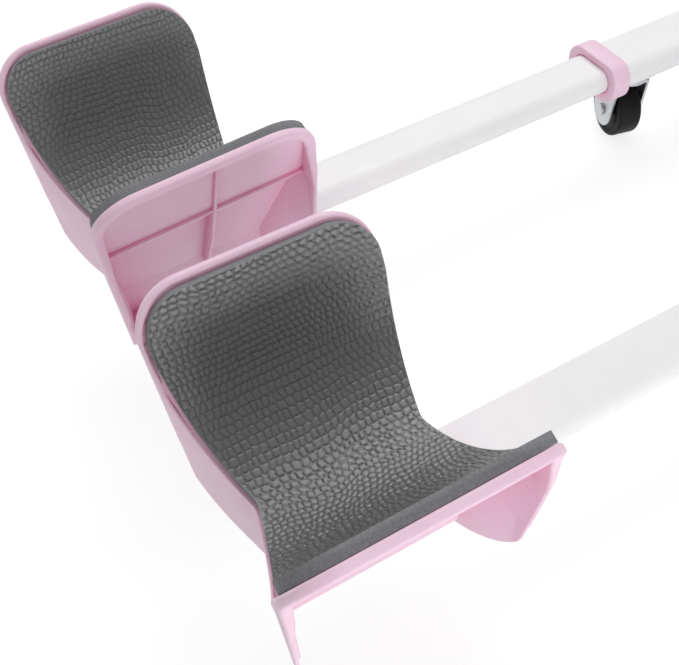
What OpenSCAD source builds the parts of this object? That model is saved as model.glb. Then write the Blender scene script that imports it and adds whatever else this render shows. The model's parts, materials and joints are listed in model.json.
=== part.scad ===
// Leg stretching machine: two coupled arms with sliding leg cradles, driven by a handwheel.
// Origin on the floor under the middle of the arm pivots, +Z up, the arms stretch along -Y.

/* [Arms] */
// Distance from the arm pivot to the middle of the cradle
arm_reach = 900; // [880:10:1000]
// Height of the middle of the arm tubes above the floor
arm_height = 94.5; // [94.5:0.5:110]
// Width of the inner arm tube
inner_w = 50; // [46:0.5:52]
// Height of the inner arm tube
inner_h = 25; // [22:0.5:25.5]
// Width of the outer arm tube
outer_w = 60; // [58:0.5:70]
// Height of the outer arm tube
outer_h = 30; // [29:0.5:32]
// Wall of every arm and frame tube
tube_wall = 1.5; // [1:0.1:1.8]
// Distance from the pivot to the mouth of the outer tube
mouth_reach = 455; // [450:1:500]
// Distance from the pivot to the rear end of the inner tube
inner_end_reach = 268; // [264:1:270]
// Length of the inner tube in front of the cradle middle
inner_nose = 46; // [30:1:50]
// Length of the guide collar over the outer tube
collar_length = 16; // [12:1:24]
// Wall of the guide collar
collar_wall = 5; // [3:0.5:6]
// Thickness of the front lip of the guide collar
collar_lip = 4; // [3:0.5:6]
// Thickness of the flange of the inner tube glide
glide_flange = 8; // [6:1:12]
// Depth of the glide inside the inner tube
glide_depth = 20; // [15:1:30]

/* [Cradle] */
// Radius of the trough at the pad surface
trough_r = 75.8; // [70:0.2:80]
// Height of the lowest pad surface above the inner tube
trough_floor = 51.9; // [50:0.1:60]
// Half angle of the round part of the trough
trough_angle = 66.4; // [60:0.2:70]
// Length of the straight walls of the pad
wall_length = 55.6; // [40:0.2:60]
// Sideways offset of the cradle towards the other arm
cradle_inset = 4.7; // [0:0.1:8]
// Angle by which the left cradle is turned on its bracket
cradle_turn = 3; // [0:0.5:3]
// Thickness of the cradle pad
pad_t = 7; // [5:0.5:8]
// Half length of the pad at the walls
pad_half = 77.3; // [70:0.5:90]
// Half length of the pad at the waist in the middle
pad_waist = 57.1; // [54:0.5:65]
// Plan angle of the waisted ends
waist_angle = 15.1; // [10:0.1:18]
// Radius of the upper pad corners
pad_corner = 30; // [15:1:34]
// Distance of the end plates' outer faces beyond the pad
plate_beyond = 4.05; // [4:0.05:6]
// Thickness of the end plates
plate_t = 2.5; // [2:0.1:2.6]
// Lean of the end plates
plate_lean = 1.45; // [0:0.05:1.5]
// Thickness of the trough wall under the pad
shell_t = 3; // [2:0.5:4]
// Height of the rim bead along the wall
rim_h = 7.5; // [5:0.5:10]
// Depth of the rim bead across the wall
rim_d = 6.7; // [5:0.1:9]
// Distance that the rim stands beyond the edge of the pad
rim_beyond = 2.5; // [1:0.5:5]
// Half width of the end plates at their lower edge
plate_low_half = 77.1; // [70:0.5:85]
// Half width of the end plates at the height of the rim
plate_top_half = 101.3; // [98:0.5:110]
// Distance of the lower edge of the end plates below the top of the inner tube
plate_drop = 33.9; // [30:0.5:45]
// Radius of the lower corners of the end plates
plate_corner = 47; // [20:1:55]
// Thickness of the ribs on the back of the walls
rib_t = 2.4; // [1.5:0.1:4]
// Distance of the lengthwise rib below the upper edge of the pad
rib_down = 64.6; // [50:0.2:70]
// Distance of the outer edge of the ribs from the pad surface
rib_out = 13; // [12:0.5:15]
// Distance of the upright rib behind the middle of the cradle
rib_shift = 9; // [0:0.5:20]
// Half width of the housing around the inner tube
bay_half = 33; // [33:0.5:34]
// Angle around the trough at which the housing meets it
bay_angle = 44; // [40:1:50]
// Width of the cradle bracket
bracket_w = 44; // [40:1:48]
// Height of the cradle bracket
bracket_h = 33; // [28:0.5:33]
// Length of the cradle bracket
bracket_l = 90; // [80:1:96]
// Wall of the cradle bracket
bracket_wall = 3; // [2:0.5:4]
// Diameter of the cradle screws
screw_d = 6; // [4:0.5:7]
// Half spacing of the cradle screws across the arm
screw_x = 12; // [10:0.5:12]
// Half spacing of the cradle screws along the arm
screw_y = 30; // [20:1:32]

/* [Casters] */
// Diameter of the caster wheel
wheel_d = 60; // [50:1:62]
// Width of the caster wheel
wheel_w = 24.5; // [20:0.5:28]
// Diameter of the wheel hub
wheel_hub_d = 36; // [24:1:44]
// Rounding of the tyre shoulders
tyre_round = 2.5; // [1:0.5:5]
// Gap between the wheel and each fork leg
fork_gap = 2.8; // [1.5:0.1:5]
// Thickness of the fork sheet
fork_t = 2.5; // [2:0.1:3]
// Width of the fork legs
fork_leg_w = 35; // [30:1:38]
// Offset of the wheel axle behind the swivel axis
caster_trail = 8; // [5:0.5:12]
// Swivel angle at rest
caster_turn = 13.5; // [0:0.5:45]
// Distance from the pivot to the swivel axis
caster_reach = 406.3; // [400:0.5:410]
// Width of the square caster mounting plate
caster_plate_w = 40; // [40:1:60]
// Diameter of the wheel axle
wheel_axle_d = 8; // [6:0.5:10]

/* [Clamp knobs] */
// Distance from the pivot to the clamp screw
knob_reach = 310; // [308:1:316]
// Diameter of the clamp knob
knob_d = 36; // [30:1:40]
// Height of the clamp knob
knob_h = 18; // [12:1:22]
// Diameter of the clamp screw
clamp_d = 10; // [8:0.5:12]

/* [Gears] */
// Module of the four coupling gears
sync_module = 3; // [3:0.1:3.2]
// Teeth of each coupling gear
sync_teeth = 33; // [33:2:35]
// Thickness of the coupling gears
sync_t = 10; // [8:0.5:10.5]
// Module of the drive gear and its pinion
drive_module = 2; // [2:0.1:2.1]
// Teeth of the drive gear
drive_teeth = 66; // [62:2:66]
// Teeth of the drive pinion
pinion_teeth = 18; // [18:2:22]
// Thickness of the drive gear
drive_t = 8; // [6:0.5:8.5]
// Thinning of each tooth for backlash
backlash = 0.3; // [0.2:0.05:0.5]
// Radius of the arm boss around the pivot bolt
boss_r = 26; // [22:0.5:27]
// Diameter of the arm pivot bolts
pivot_d = 20; // [16:0.5:22]
// Wall of the pivot bushes
bush_wall = 3; // [2:0.5:4]
// Diameter of the idler bolts
idler_d = 16; // [12:0.5:18]
// Radius of the idler hubs
idler_hub_r = 18; // [15:0.5:20]

/* [Base] */
// Height of the rubber feet
foot_h = 8; // [5:0.5:8]
// Radius of the rubber feet
foot_r = 14; // [10:0.5:15]
// Half length of the front stabiliser
front_half = 210; // [200:5:260]
// Half length of the rear stabiliser
rear_half = 250; // [220:5:320]
// Distance of the rear stabiliser behind the pivots
rear_reach = 500; // [480:5:560]
// Length of the beam in front of the pivots
beam_front = 118; // [112:1:140]
// Length of the beam behind the rear stabiliser
beam_tail = 40; // [35:1:80]
// Thickness of the pivot plates
pivot_plate_t = 6; // [4:0.5:6]
// Half width of the pivot plates
pivot_plate_half = 188; // [185:1:200]
// Front edge of the pivot plates
pivot_plate_front = 112; // [110:1:130]
// Rear edge of the pivot plates
pivot_plate_rear = 86; // [84:1:110]
// Corner radius of the pivot plates
pivot_plate_corner = 25; // [10:1:40]
// Radius of the plate spacers
spacer_r = 8; // [7:0.5:9]
// Diameter of the plate bolts
plate_bolt_d = 8; // [6:0.5:10]
// Thickness of the gear cover
cover_t = 2; // [1:0.5:3]
// Length of the sides of the gear cover
cover_side = 45; // [30:1:60]

/* [Drive column] */
// Diameter of the drive shaft
shaft_d = 20; // [16:0.5:22]
// Diameter of the column tube
column_d = 50; // [45:1:60]
// Height of the top of the column above the floor
column_top = 540; // [480:10:620]
// Radius of the handwheel to the middle of its rim
handwheel_r = 150; // [120:5:170]
// Radius of the handwheel grip
grip_r = 13; // [11:0.5:16]
// Radius of the steel core of the handwheel
core_r = 8; // [6:0.5:9]
// Radius of the handwheel spokes
spoke_r = 6; // [4:0.5:7]
// Height of the handwheel hub
wheel_hub_h = 28; // [20:1:32]
// Wall of the handwheel hub
wheel_hub_wall = 12; // [6:1:16]

/* [Seat] */
// Height of the underside of the seat pan
seat_z = 244; // [230:2:300]
// Half width of the seat
seat_half = 190; // [170:5:200]
// Depth of the seat
seat_depth = 350; // [320:5:360]
// Width of the square seat post
post_w = 60; // [50:1:60]
// Wall of the seat post
post_wall = 3; // [2:0.5:4]
// Width of the plate under the seat
seat_plate_w = 280; // [240:10:300]
// Length of the plate under the seat
seat_plate_l = 260; // [220:10:300]
// Thickness of the plate under the seat
seat_plate_t = 4; // [3:0.5:6]
// Front edge of the seat behind the pivots
seat_front = 90; // [85:5:100]
// Thickness of the seat and back pans
pan_t = 14; // [10:1:20]
// Thickness of the seat and back cushions
cushion_t = 42; // [30:1:55]
// Lean of the backrest
back_lean = 10; // [5:1:14]
// Length of the backrest
back_length = 380; // [320:10:420]
// Distance of the back upright behind the pivots
back_reach = 482; // [480:1:500]
// Half spacing of the hand rails
rail_half = 235; // [225:5:260]
// Radius of the hand rails
rail_r = 12.5; // [10:0.5:14]
// Height of the top of the hand rails
rail_top = 410; // [380:10:450]

/* [Hidden] */
$fn = 64;
gap = 0.3;
fit = 0.05;
inner_top = arm_height + inner_h / 2;
outer_low = arm_height - outer_h / 2;
sync_pitch_r = sync_module * sync_teeth / 2;
arm_x = 3 * sync_pitch_r;
drive_pitch_r = drive_module * drive_teeth / 2;
pinion_pitch_r = drive_module * pinion_teeth / 2;
drive_distance = drive_pitch_r + pinion_pitch_r;
shaft_y = -sqrt(drive_distance * drive_distance - sync_pitch_r * sync_pitch_r);
drive_angle = atan2(shaft_y, sync_pitch_r);

beam_z = foot_h + outer_h;
lower_plate_z = beam_z + outer_h;
stack_z = lower_plate_z + pivot_plate_t;
bush_flange = 2;
boss_z = stack_z + gap + bush_flange;
sync_z = arm_height + outer_h / 2 + 2;
drive_z = sync_z + sync_t + 2;
upper_plate_z = drive_z + drive_t + 3;
boss_top = upper_plate_z - gap - bush_flange;
plate_top_z = upper_plate_z + pivot_plate_t;

trough_z = inner_top + trough_floor + trough_r;
bracket_top = inner_top + bracket_h;
plate_low_z = inner_top - plate_drop;
rim_z = trough_z - trough_r * cos(trough_angle) + wall_length * sin(trough_angle);
flare = atan((plate_top_half - plate_low_half) / (rim_z - plate_low_z));
plate_mid_z = inner_top + 100;
pad_gap = gap;
seat_d = pad_t + pad_gap;
back_d = seat_d + shell_t;
rim_corner = pad_corner + plate_beyond;
wall_start = trough_r * sin(trough_angle);
far = 200;

wheel_r = wheel_d / 2;
caster_z = outer_low - 2.5;
race_z = caster_z - 5;
crown_z = race_z - gap;
leg_in = wheel_w / 2 + fork_gap;
leg_out = leg_in + fork_t;

spacer_front = [95, 85];
spacer_rear = [2 * sync_pitch_r, 66];
cover_half = spacer_front[0] + spacer_r + 3;
wheel_z = column_top + 35;
seat_mid = seat_front + seat_depth / 2;
cushion_z = seat_z + pan_t;
rail_y = seat_front + seat_depth - 90;
rail_bend = 40;
rail_z = seat_z - seat_plate_t - rail_r;
grip_length = 110;
back_start = 330;
upright_top = back_start + back_length - 40;

foot_pads();
front_stabiliser();
rear_stabiliser();
end_caps();
centre_beam();
lower_plate();
upper_plate();
plate_spacers();
plate_bolts();
plate_nuts();
gear_cover();
column_tube();
column_bush();
seat_frame();
seat_shell();
seat_pad();
back_frame();
back_shell();
back_pad();
hand_rails();
hand_grips();
idler_gear(-1);  // idler_gear_left
idler_gear(1);  // idler_gear_right
drive_gear();
drive_shaft();
handwheel();
wheel_grip();
left_arm() outer_tube();  // outer_tube_left
left_arm() guide_collar();  // guide_collar_left
left_arm() arm_bushes();  // arm_bushes_left
arm_gear(-1);  // arm_gear_left
left_arm() caster_plate();  // caster_plate_left
left_arm() inner_tube();  // inner_tube_left
left_arm() tube_glide();  // tube_glide_left
left_arm() cradle_bracket();  // cradle_bracket_left
left_arm() cradle_shell(-cradle_turn);  // cradle_shell_left
left_arm() cradle_pad(-cradle_turn);  // cradle_pad_left
left_arm() cradle_screws();  // cradle_screws_left
left_arm() clamp_knob();  // clamp_knob_left
left_arm() caster_fork();  // caster_fork_left
left_arm() caster_axle();  // caster_axle_left
left_arm() caster_hub();  // caster_hub_left
left_arm() caster_tyre();  // caster_tyre_left
right_arm() outer_tube();  // outer_tube_right
right_arm() guide_collar();  // guide_collar_right
right_arm() arm_bushes();  // arm_bushes_right
arm_gear(1);  // arm_gear_right
right_arm() caster_plate();  // caster_plate_right
right_arm() inner_tube();  // inner_tube_right
right_arm() tube_glide();  // tube_glide_right
right_arm() cradle_bracket();  // cradle_bracket_right
right_arm() cradle_shell(0);  // cradle_shell_right
right_arm() cradle_pad(0);  // cradle_pad_right
right_arm() cradle_screws();  // cradle_screws_right
right_arm() clamp_knob();  // clamp_knob_right
right_arm() caster_fork();  // caster_fork_right
right_arm() caster_axle();  // caster_axle_right
right_arm() caster_hub();  // caster_hub_right
right_arm() caster_tyre();  // caster_tyre_right

// Placing helpers
module right_arm() {
  translate([arm_x, 0, 0]) children();
}

module left_arm() {
  mirror([1, 0, 0]) translate([arm_x, 0, 0]) children();
}

module along_y(y_from, y_to) {
  translate([0, y_to, 0]) rotate([90, 0, 0]) linear_extrude(y_to - y_from) children();
}

module along_x(x_from, x_to) {
  translate([x_from, 0, 0]) rotate([90, 0, 90]) linear_extrude(x_to - x_from) children();
}

// Flat shapes
module flat_oval(w, h) {
  translate([-(w - h) / 2, -h / 2]) square([w - h, h]);
  for (s = [-1, 1]) translate([s * (w - h) / 2, 0]) circle(h / 2);
}

module oval_ring(w, h, wall) {
  difference() {
    flat_oval(w, h);
    flat_oval(w - 2 * wall, h - 2 * wall);
  }
}

module rounded_rect(w, h, r) {
  translate([-w / 2 + r, -h / 2]) square([w - 2 * r, h]);
  translate([-w / 2, -h / 2 + r]) square([w, h - 2 * r]);
  for (sx = [-1, 1]) for (sy = [-1, 1]) {
    translate([sx * (w / 2 - r), sy * (h / 2 - r)]) circle(r);
  }
}

// Involute gear outline with a tooth centred on +X
function flank_r(root, tip, i) = root + (tip - root) * i / 3;
function flank_angle(base, r) =
  r <= base ? 0 : sqrt(r * r / (base * base) - 1) * 180 / PI - acos(base / r);
function tooth_half(m, n, slack, r) =
  90 / n - slack / (m * n) * 90 / PI * 2
  + flank_angle(m * n / 2 * cos(20), m * n / 2)
  - flank_angle(m * n / 2 * cos(20), r);
function polar(r, a) = [r * cos(a), r * sin(a)];

module gear_outline(m, n, slack) {
  tip = m * n / 2 + m;
  base = m * n / 2 * cos(20);
  foot = m * n / 2 - 1.25 * m;
  start = max(base, foot);
  points = [
    for (k = [0 : n - 1], i = [0 : 9])
      i == 0 ? polar(foot, k * 360 / n - tooth_half(m, n, slack, start)) :
      i == 9 ? polar(foot, k * 360 / n + tooth_half(m, n, slack, start)) :
      i < 5 ? polar(flank_r(start, tip, i - 1),
        k * 360 / n - tooth_half(m, n, slack, flank_r(start, tip, i - 1))) :
      polar(flank_r(start, tip, 8 - i),
        k * 360 / n + tooth_half(m, n, slack, flank_r(start, tip, 8 - i)))
  ];
  polygon(points);
}

// Base frame
module foot_places() {
  for (x = [-front_half + 25, 0, front_half - 25]) translate([x, 0, 0]) children();
  for (x = [-rear_half + 25, rear_half - 25]) translate([x, rear_reach, 0]) children();
}

module foot_pads() {
  color([0.12, 0.12, 0.12]) foot_places() cylinder(h = foot_h, r = foot_r);
}

module cross_tube(half) {
  along_x(-half, half) translate([0, foot_h + outer_h / 2]) oval_ring(outer_w, outer_h, tube_wall);
}

module front_stabiliser() {
  color([0.93, 0.93, 0.94]) cross_tube(front_half);
}

module rear_stabiliser() {
  color([0.93, 0.93, 0.94]) translate([0, rear_reach, 0]) cross_tube(rear_half);
}

module tube_cap() {
  linear_extrude(4) flat_oval(outer_w, outer_h);
  translate([0, 0, -15]) linear_extrude(15)
    flat_oval(outer_w - 2 * tube_wall - 2 * fit, outer_h - 2 * tube_wall - 2 * fit);
}

module end_caps() {
  color([0.95, 0.75, 0.84]) {
    for (s = [0, 1]) mirror([s, 0, 0]) {
      translate([front_half, 0, foot_h + outer_h / 2]) rotate([90, 0, 90]) tube_cap();
      translate([rear_half, rear_reach, foot_h + outer_h / 2]) rotate([90, 0, 90]) tube_cap();
    }
    translate([0, -beam_front, beam_z + outer_h / 2]) rotate([90, 0, 0]) tube_cap();
    translate([0, rear_reach + beam_tail, beam_z + outer_h / 2]) rotate([-90, 0, 0]) tube_cap();
    leaned() translate([0, 0, upright_top]) tube_cap();
  }
}

module centre_beam() {
  color([0.93, 0.93, 0.94])
    along_y(-beam_front, rear_reach + beam_tail)
      translate([0, beam_z + outer_h / 2]) oval_ring(outer_w, outer_h, tube_wall);
}

module spacer_places() {
  for (s = [-1, 1]) {
    translate([s * spacer_front[0], -spacer_front[1], 0]) children();
    translate([s * spacer_rear[0], spacer_rear[1], 0]) children();
  }
}

module pivot_places() {
  for (s = [-1, 1]) translate([s * arm_x, 0, 0]) children();
}

module idler_places() {
  for (s = [-1, 1]) translate([s * sync_pitch_r, 0, 0]) children();
}

module pivot_plate() {
  difference() {
    translate([0, (pivot_plate_rear - pivot_plate_front) / 2, 0]) linear_extrude(pivot_plate_t)
      rounded_rect(2 * pivot_plate_half, pivot_plate_rear + pivot_plate_front, pivot_plate_corner);
    pivot_places() hole(pivot_d);
    idler_places() hole(idler_d);
    spacer_places() hole(plate_bolt_d);
    translate([0, shaft_y, 0]) hole(shaft_d);
  }
}

module hole(d) {
  translate([0, 0, -1]) cylinder(h = pivot_plate_t + 2, r = d / 2 + fit);
}

module lower_plate() {
  color([0.93, 0.93, 0.94]) translate([0, 0, lower_plate_z]) pivot_plate();
}

module upper_plate() {
  color([0.93, 0.93, 0.94]) translate([0, 0, upper_plate_z]) pivot_plate();
}

module plate_spacers() {
  color([0.75, 0.76, 0.78]) spacer_places() translate([0, 0, stack_z]) difference() {
    cylinder(h = upper_plate_z - stack_z, r = spacer_r);
    translate([0, 0, -1]) cylinder(h = upper_plate_z - stack_z + 2, r = plate_bolt_d / 2 + fit);
  }
}

module bolt(d) {
  translate([0, 0, lower_plate_z - 0.6 * d]) cylinder(h = 0.6 * d, r = 0.9 * d, $fn = 6);
  translate([0, 0, lower_plate_z - 1]) cylinder(h = plate_top_z - lower_plate_z + 1 + d, r = d / 2);
}

module nut(d) {
  translate([0, 0, plate_top_z]) difference() {
    cylinder(h = 0.8 * d, r = 0.9 * d, $fn = 6);
    translate([0, 0, -1]) cylinder(h = 0.8 * d + 2, r = d / 2 + fit);
  }
}

module plate_bolts() {
  color([0.75, 0.76, 0.78]) {
    pivot_places() bolt(pivot_d);
    idler_places() bolt(idler_d);
    spacer_places() bolt(plate_bolt_d);
  }
}

module plate_nuts() {
  color([0.75, 0.76, 0.78]) {
    pivot_places() nut(pivot_d);
    idler_places() nut(idler_d);
    spacer_places() nut(plate_bolt_d);
  }
}

module gear_cover() {
  color([0.95, 0.75, 0.84]) translate([0, 0, stack_z]) linear_extrude(upper_plate_z - stack_z) {
    translate([-cover_half, -pivot_plate_front]) square([2 * cover_half, cover_t]);
    for (s = [-1, 1]) translate([s * (cover_half - cover_t / 2) - cover_t / 2, -pivot_plate_front])
      square([cover_t, cover_side]);
  }
}

// Gears on the frame
module idler_gear(s) {
  color([0.55, 0.56, 0.58]) translate([s * sync_pitch_r, 0, 0]) difference() {
    union() {
      translate([0, 0, sync_z]) linear_extrude(sync_t) gear_outline(sync_module, sync_teeth, backlash);
      translate([0, 0, stack_z + gap]) cylinder(h = upper_plate_z - stack_z - 2 * gap, r = idler_hub_r);
    }
    translate([0, 0, stack_z]) cylinder(h = upper_plate_z - stack_z, r = idler_d / 2 + fit);
  }
}

module drive_gear() {
  color([0.55, 0.56, 0.58]) translate([-sync_pitch_r, 0, drive_z]) linear_extrude(drive_t) difference() {
    rotate(drive_angle) gear_outline(drive_module, drive_teeth, backlash);
    circle(idler_hub_r + fit);
  }
}

// Drive column
module drive_shaft() {
  color([0.75, 0.76, 0.78]) translate([0, shaft_y, 0]) {
    translate([0, 0, lower_plate_z + gap])
      cylinder(h = wheel_z + 16 - lower_plate_z - gap, r = shaft_d / 2);
    translate([0, 0, drive_z - 1]) linear_extrude(drive_t + 2)
      rotate(drive_angle + 180 + 180 / pinion_teeth)
        gear_outline(drive_module, pinion_teeth, backlash);
  }
}

module column_tube() {
  color([0.93, 0.93, 0.94]) translate([0, shaft_y, plate_top_z]) difference() {
    union() {
      cylinder(h = 6, r = column_d / 2 + 14);
      cylinder(h = column_top - plate_top_z, r = column_d / 2);
    }
    translate([0, 0, -1]) cylinder(h = column_top - plate_top_z + 2, r = column_d / 2 - 2);
  }
}

module column_bush() {
  color([0.15, 0.15, 0.15]) translate([0, shaft_y, column_top]) difference() {
    union() {
      translate([0, 0, -25]) cylinder(h = 25, r = column_d / 2 - 2 - fit);
      cylinder(h = 5, r = column_d / 2 + 2);
    }
    translate([0, 0, -26]) cylinder(h = 32, r = shaft_d / 2 + fit);
  }
}

module spokes(extra) {
  for (k = [0 : 2]) rotate([0, 0, 90 + k * 120]) translate([shaft_d / 2 + 4, 0, 0])
    rotate([0, 90, 0]) cylinder(h = handwheel_r - shaft_d / 2 - 4, r = spoke_r + extra);
}

module handwheel() {
  color([0.93, 0.93, 0.94]) translate([0, shaft_y, wheel_z]) difference() {
    union() {
      rotate_extrude() translate([handwheel_r, 0]) circle(core_r);
      spokes(0);
      translate([0, 0, -wheel_hub_h / 2]) cylinder(h = wheel_hub_h, r = shaft_d / 2 + wheel_hub_wall);
    }
    translate([0, 0, -wheel_hub_h]) cylinder(h = 2 * wheel_hub_h, r = shaft_d / 2 + fit);
  }
}

module wheel_grip() {
  color([0.2, 0.2, 0.21]) translate([0, shaft_y, wheel_z]) difference() {
    rotate_extrude() translate([handwheel_r, 0]) circle(grip_r);
    rotate_extrude() translate([handwheel_r, 0]) circle(core_r + fit);
    spokes(gap);
  }
}

// Seat and backrest
module seat_post(w, z0) {
  translate([-w / 2, seat_mid - (post_w + w) / 2, z0])
    cube([w, w, seat_z - seat_plate_t - z0]);
}

module seat_frame() {
  color([0.93, 0.93, 0.94]) {
    difference() {
      seat_post(post_w, lower_plate_z);
      seat_post(post_w - 2 * post_wall, lower_plate_z - 1);
    }
    translate([-seat_plate_w / 2, seat_mid - seat_plate_l / 2, seat_z - seat_plate_t])
      cube([seat_plate_w, seat_plate_l, seat_plate_t]);
  }
}

module pan(w, d) {
  difference() {
    linear_extrude(pan_t) rounded_rect(w, d, 45);
    translate([0, 0, 4]) linear_extrude(pan_t) rounded_rect(w - 8, d - 8, 41);
  }
}

module cushion(w, d) {
  inset = 8 + 2 * gap;
  intersection() {
    translate([0, 0, 4]) linear_extrude(pan_t - 4 + cushion_t) rounded_rect(w - inset, d - inset, 41);
    translate([0, 0, pan_t + cushion_t - 1400]) sphere(1400, $fn = 128);
  }
}

module seat_shell() {
  color([0.95, 0.75, 0.84]) translate([0, seat_mid, seat_z]) pan(2 * seat_half, seat_depth);
}

module seat_pad() {
  color([0.4, 0.4, 0.41]) translate([0, seat_mid, seat_z]) cushion(2 * seat_half, seat_depth);
}

module leaned() {
  translate([0, back_reach, beam_z + outer_h]) rotate([-back_lean, 0, 0]) children();
}

module back_frame() {
  color([0.93, 0.93, 0.94]) difference() {
    leaned() translate([0, 0, -20]) linear_extrude(upright_top + 20)
      oval_ring(outer_w, outer_h, tube_wall);
    translate([-far, 0, 0]) cube([2 * far, 3 * far, beam_z + outer_h]);
  }
}

module back_place() {
  leaned() translate([0, -outer_h / 2, back_start - beam_z + back_length / 2 - outer_h])
    rotate([90, 0, 0]) children();
}

module back_shell() {
  color([0.95, 0.75, 0.84]) back_place() pan(2 * seat_half - 20, back_length);
}

module back_pad() {
  color([0.4, 0.4, 0.41]) back_place() cushion(2 * seat_half - 20, back_length);
}

module hand_rails() {
  color([0.93, 0.93, 0.94]) translate([0, rail_y, rail_z]) {
    rotate([0, 90, 0]) translate([0, 0, -rail_half + rail_bend])
      cylinder(h = 2 * rail_half - 2 * rail_bend, r = rail_r);
    for (s = [0, 180]) rotate([0, 0, s]) {
      translate([rail_half - rail_bend, 0, rail_bend]) rotate([90, 0, 0])
        rotate([0, 0, -90]) rotate_extrude(angle = 90) translate([rail_bend, 0]) circle(rail_r);
      translate([rail_half, 0, rail_bend]) cylinder(h = rail_top - rail_z - rail_bend, r = rail_r);
    }
  }
}

module hand_grips() {
  color([0.2, 0.2, 0.21]) for (s = [-1, 1]) {
    translate([s * rail_half, rail_y, rail_top - grip_length]) difference() {
      cylinder(h = grip_length + 4, r = rail_r + 4);
      translate([0, 0, -1]) cylinder(h = grip_length + 1, r = rail_r + fit);
    }
  }
}

// Arm
module outer_tube() {
  color([0.93, 0.93, 0.94]) difference() {
    union() {
      along_y(-mouth_reach, 0) translate([0, arm_height]) flat_oval(outer_w, outer_h);
      translate([0, 0, boss_z]) cylinder(h = boss_top - boss_z, r = boss_r);
      translate([0, -knob_reach, outer_low - 8]) cylinder(h = 9, r = clamp_d / 2 + 4);
    }
    along_y(-mouth_reach - 1, -boss_r - 4) translate([0, arm_height])
      flat_oval(outer_w - 2 * tube_wall, outer_h - 2 * tube_wall);
    translate([0, 0, boss_z - 1])
      cylinder(h = boss_top - boss_z + 2, r = pivot_d / 2 + bush_wall + 2 * fit);
    translate([0, -knob_reach, outer_low - 9]) cylinder(h = 15, r = clamp_d / 2 + fit);
  }
}

module guide_collar() {
  color([0.95, 0.75, 0.84]) difference() {
    along_y(-mouth_reach - collar_lip, -mouth_reach + collar_length) translate([0, arm_height])
      rounded_rect(outer_w + 2 * collar_wall, outer_h + 2 * collar_wall, 17);
    along_y(-mouth_reach, -mouth_reach + collar_length + 1) translate([0, arm_height])
      flat_oval(outer_w + 2 * fit, outer_h + 2 * fit);
    along_y(-mouth_reach - collar_lip - 1, -mouth_reach + 1) translate([0, arm_height])
      flat_oval(inner_w + 2 * gap, inner_h + 2 * gap);
  }
}

module arm_bush() {
  cylinder(h = bush_flange, r = boss_r - 2);
  translate([0, 0, bush_flange - 0.5]) cylinder(h = 15, r = pivot_d / 2 + bush_wall + fit);
}

module arm_bushes() {
  color([0.72, 0.58, 0.3]) difference() {
    union() {
      translate([0, 0, boss_z - bush_flange]) arm_bush();
      translate([0, 0, boss_top + bush_flange]) mirror([0, 0, 1]) arm_bush();
    }
    translate([0, 0, stack_z]) cylinder(h = upper_plate_z - stack_z, r = pivot_d / 2 + fit);
  }
}

module arm_gear(s) {
  color([0.55, 0.56, 0.58]) translate([s * arm_x, 0, sync_z]) linear_extrude(sync_t) difference() {
    gear_outline(sync_module, sync_teeth, backlash);
    circle(boss_r + fit);
  }
}

module inner_tube() {
  color([0.93, 0.93, 0.94])
    along_y(-arm_reach - inner_nose, -inner_end_reach) translate([0, arm_height])
      oval_ring(inner_w, inner_h, tube_wall);
}

module tube_glide() {
  slack = 2 * 0.2;
  color([0.15, 0.15, 0.15]) {
    along_y(-inner_end_reach, -inner_end_reach + glide_flange) translate([0, arm_height])
      flat_oval(outer_w - 2 * tube_wall - slack, outer_h - 2 * tube_wall - slack);
    along_y(-inner_end_reach - glide_depth, -inner_end_reach + 1) translate([0, arm_height])
      flat_oval(inner_w - 2 * tube_wall - slack, inner_h - 2 * tube_wall - slack);
  }
}

module clamp_knob() {
  color([0.12, 0.12, 0.12]) translate([0, -knob_reach, 0]) {
    translate([0, 0, outer_low - 16]) cylinder(h = arm_height - inner_h / 2 - gap - outer_low + 16, r = clamp_d / 2);
    translate([0, 0, outer_low - 12 - knob_h]) difference() {
      cylinder(h = knob_h, r = knob_d / 2);
      for (k = [0 : 4]) rotate([0, 0, k * 72]) translate([knob_d / 2 + 4, 0, -1])
        cylinder(h = knob_h + 2, r = 7);
    }
  }
}

// Cradle, around its own middle and turned about the arm
module at_cradle(turn) {
  translate([0, -arm_reach, 0]) rotate([0, 0, turn]) translate([-cradle_inset, 0, 0]) children();
}

module along_arm(turn) {
  translate([cradle_inset, 0, 0]) rotate([0, 0, -turn]) children();
}

module trough_fill(d) {
  r = trough_r + d;
  x0 = r * sin(trough_angle);
  z0 = trough_z - r * cos(trough_angle);
  x1 = x0 + far * cos(trough_angle);
  z1 = z0 + far * sin(trough_angle);
  translate([0, trough_z]) circle(r, $fn = 96);
  polygon([[-x0, z0], [x0, z0], [x1, z1], [-x1, z1]]);
}

module trough_space(d) {
  along_y(-far, far) trough_fill(d);
}

module on_wall(s) {
  mirror([s < 0 ? 1 : 0, 0, 0])
    translate([wall_start, 0, trough_z - trough_r * cos(trough_angle)])
      rotate([0, 90 - trough_angle, 0]) rotate([90, 0, 90]) children();
}

module wall_shape(half, top, r) {
  translate([-half, -30]) square([2 * half, top + 30 - r]);
  translate([-half + r, -30]) square([2 * half - 2 * r, top + 30]);
  for (s = [-1, 1]) translate([s * (half - r), top - r]) circle(r);
}

module wall_trim(half, top, r) {
  for (s = [-1, 1]) on_wall(s) translate([0, 0, -40]) linear_extrude(120) difference() {
    translate([-far, top - r]) square([2 * far, far]);
    wall_shape(half, top, r);
  }
}

module beyond_end(off, lean) {
  intersection() {
    for_side(off, lean, waist_angle);
    for_side(off, lean, -waist_angle);
  }
  translate([0, pad_half + off, plate_mid_z]) rotate([-lean, 0, 0])
    translate([-far, 0, -far]) cube([2 * far, far, 2 * far]);
}

module for_side(off, lean, turn) {
  translate([0, pad_waist + off, plate_mid_z]) rotate([-lean, 0, 0]) rotate([0, 0, turn])
    translate([-2 * far, 0, -far]) cube([4 * far, far, 2 * far]);
}

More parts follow.
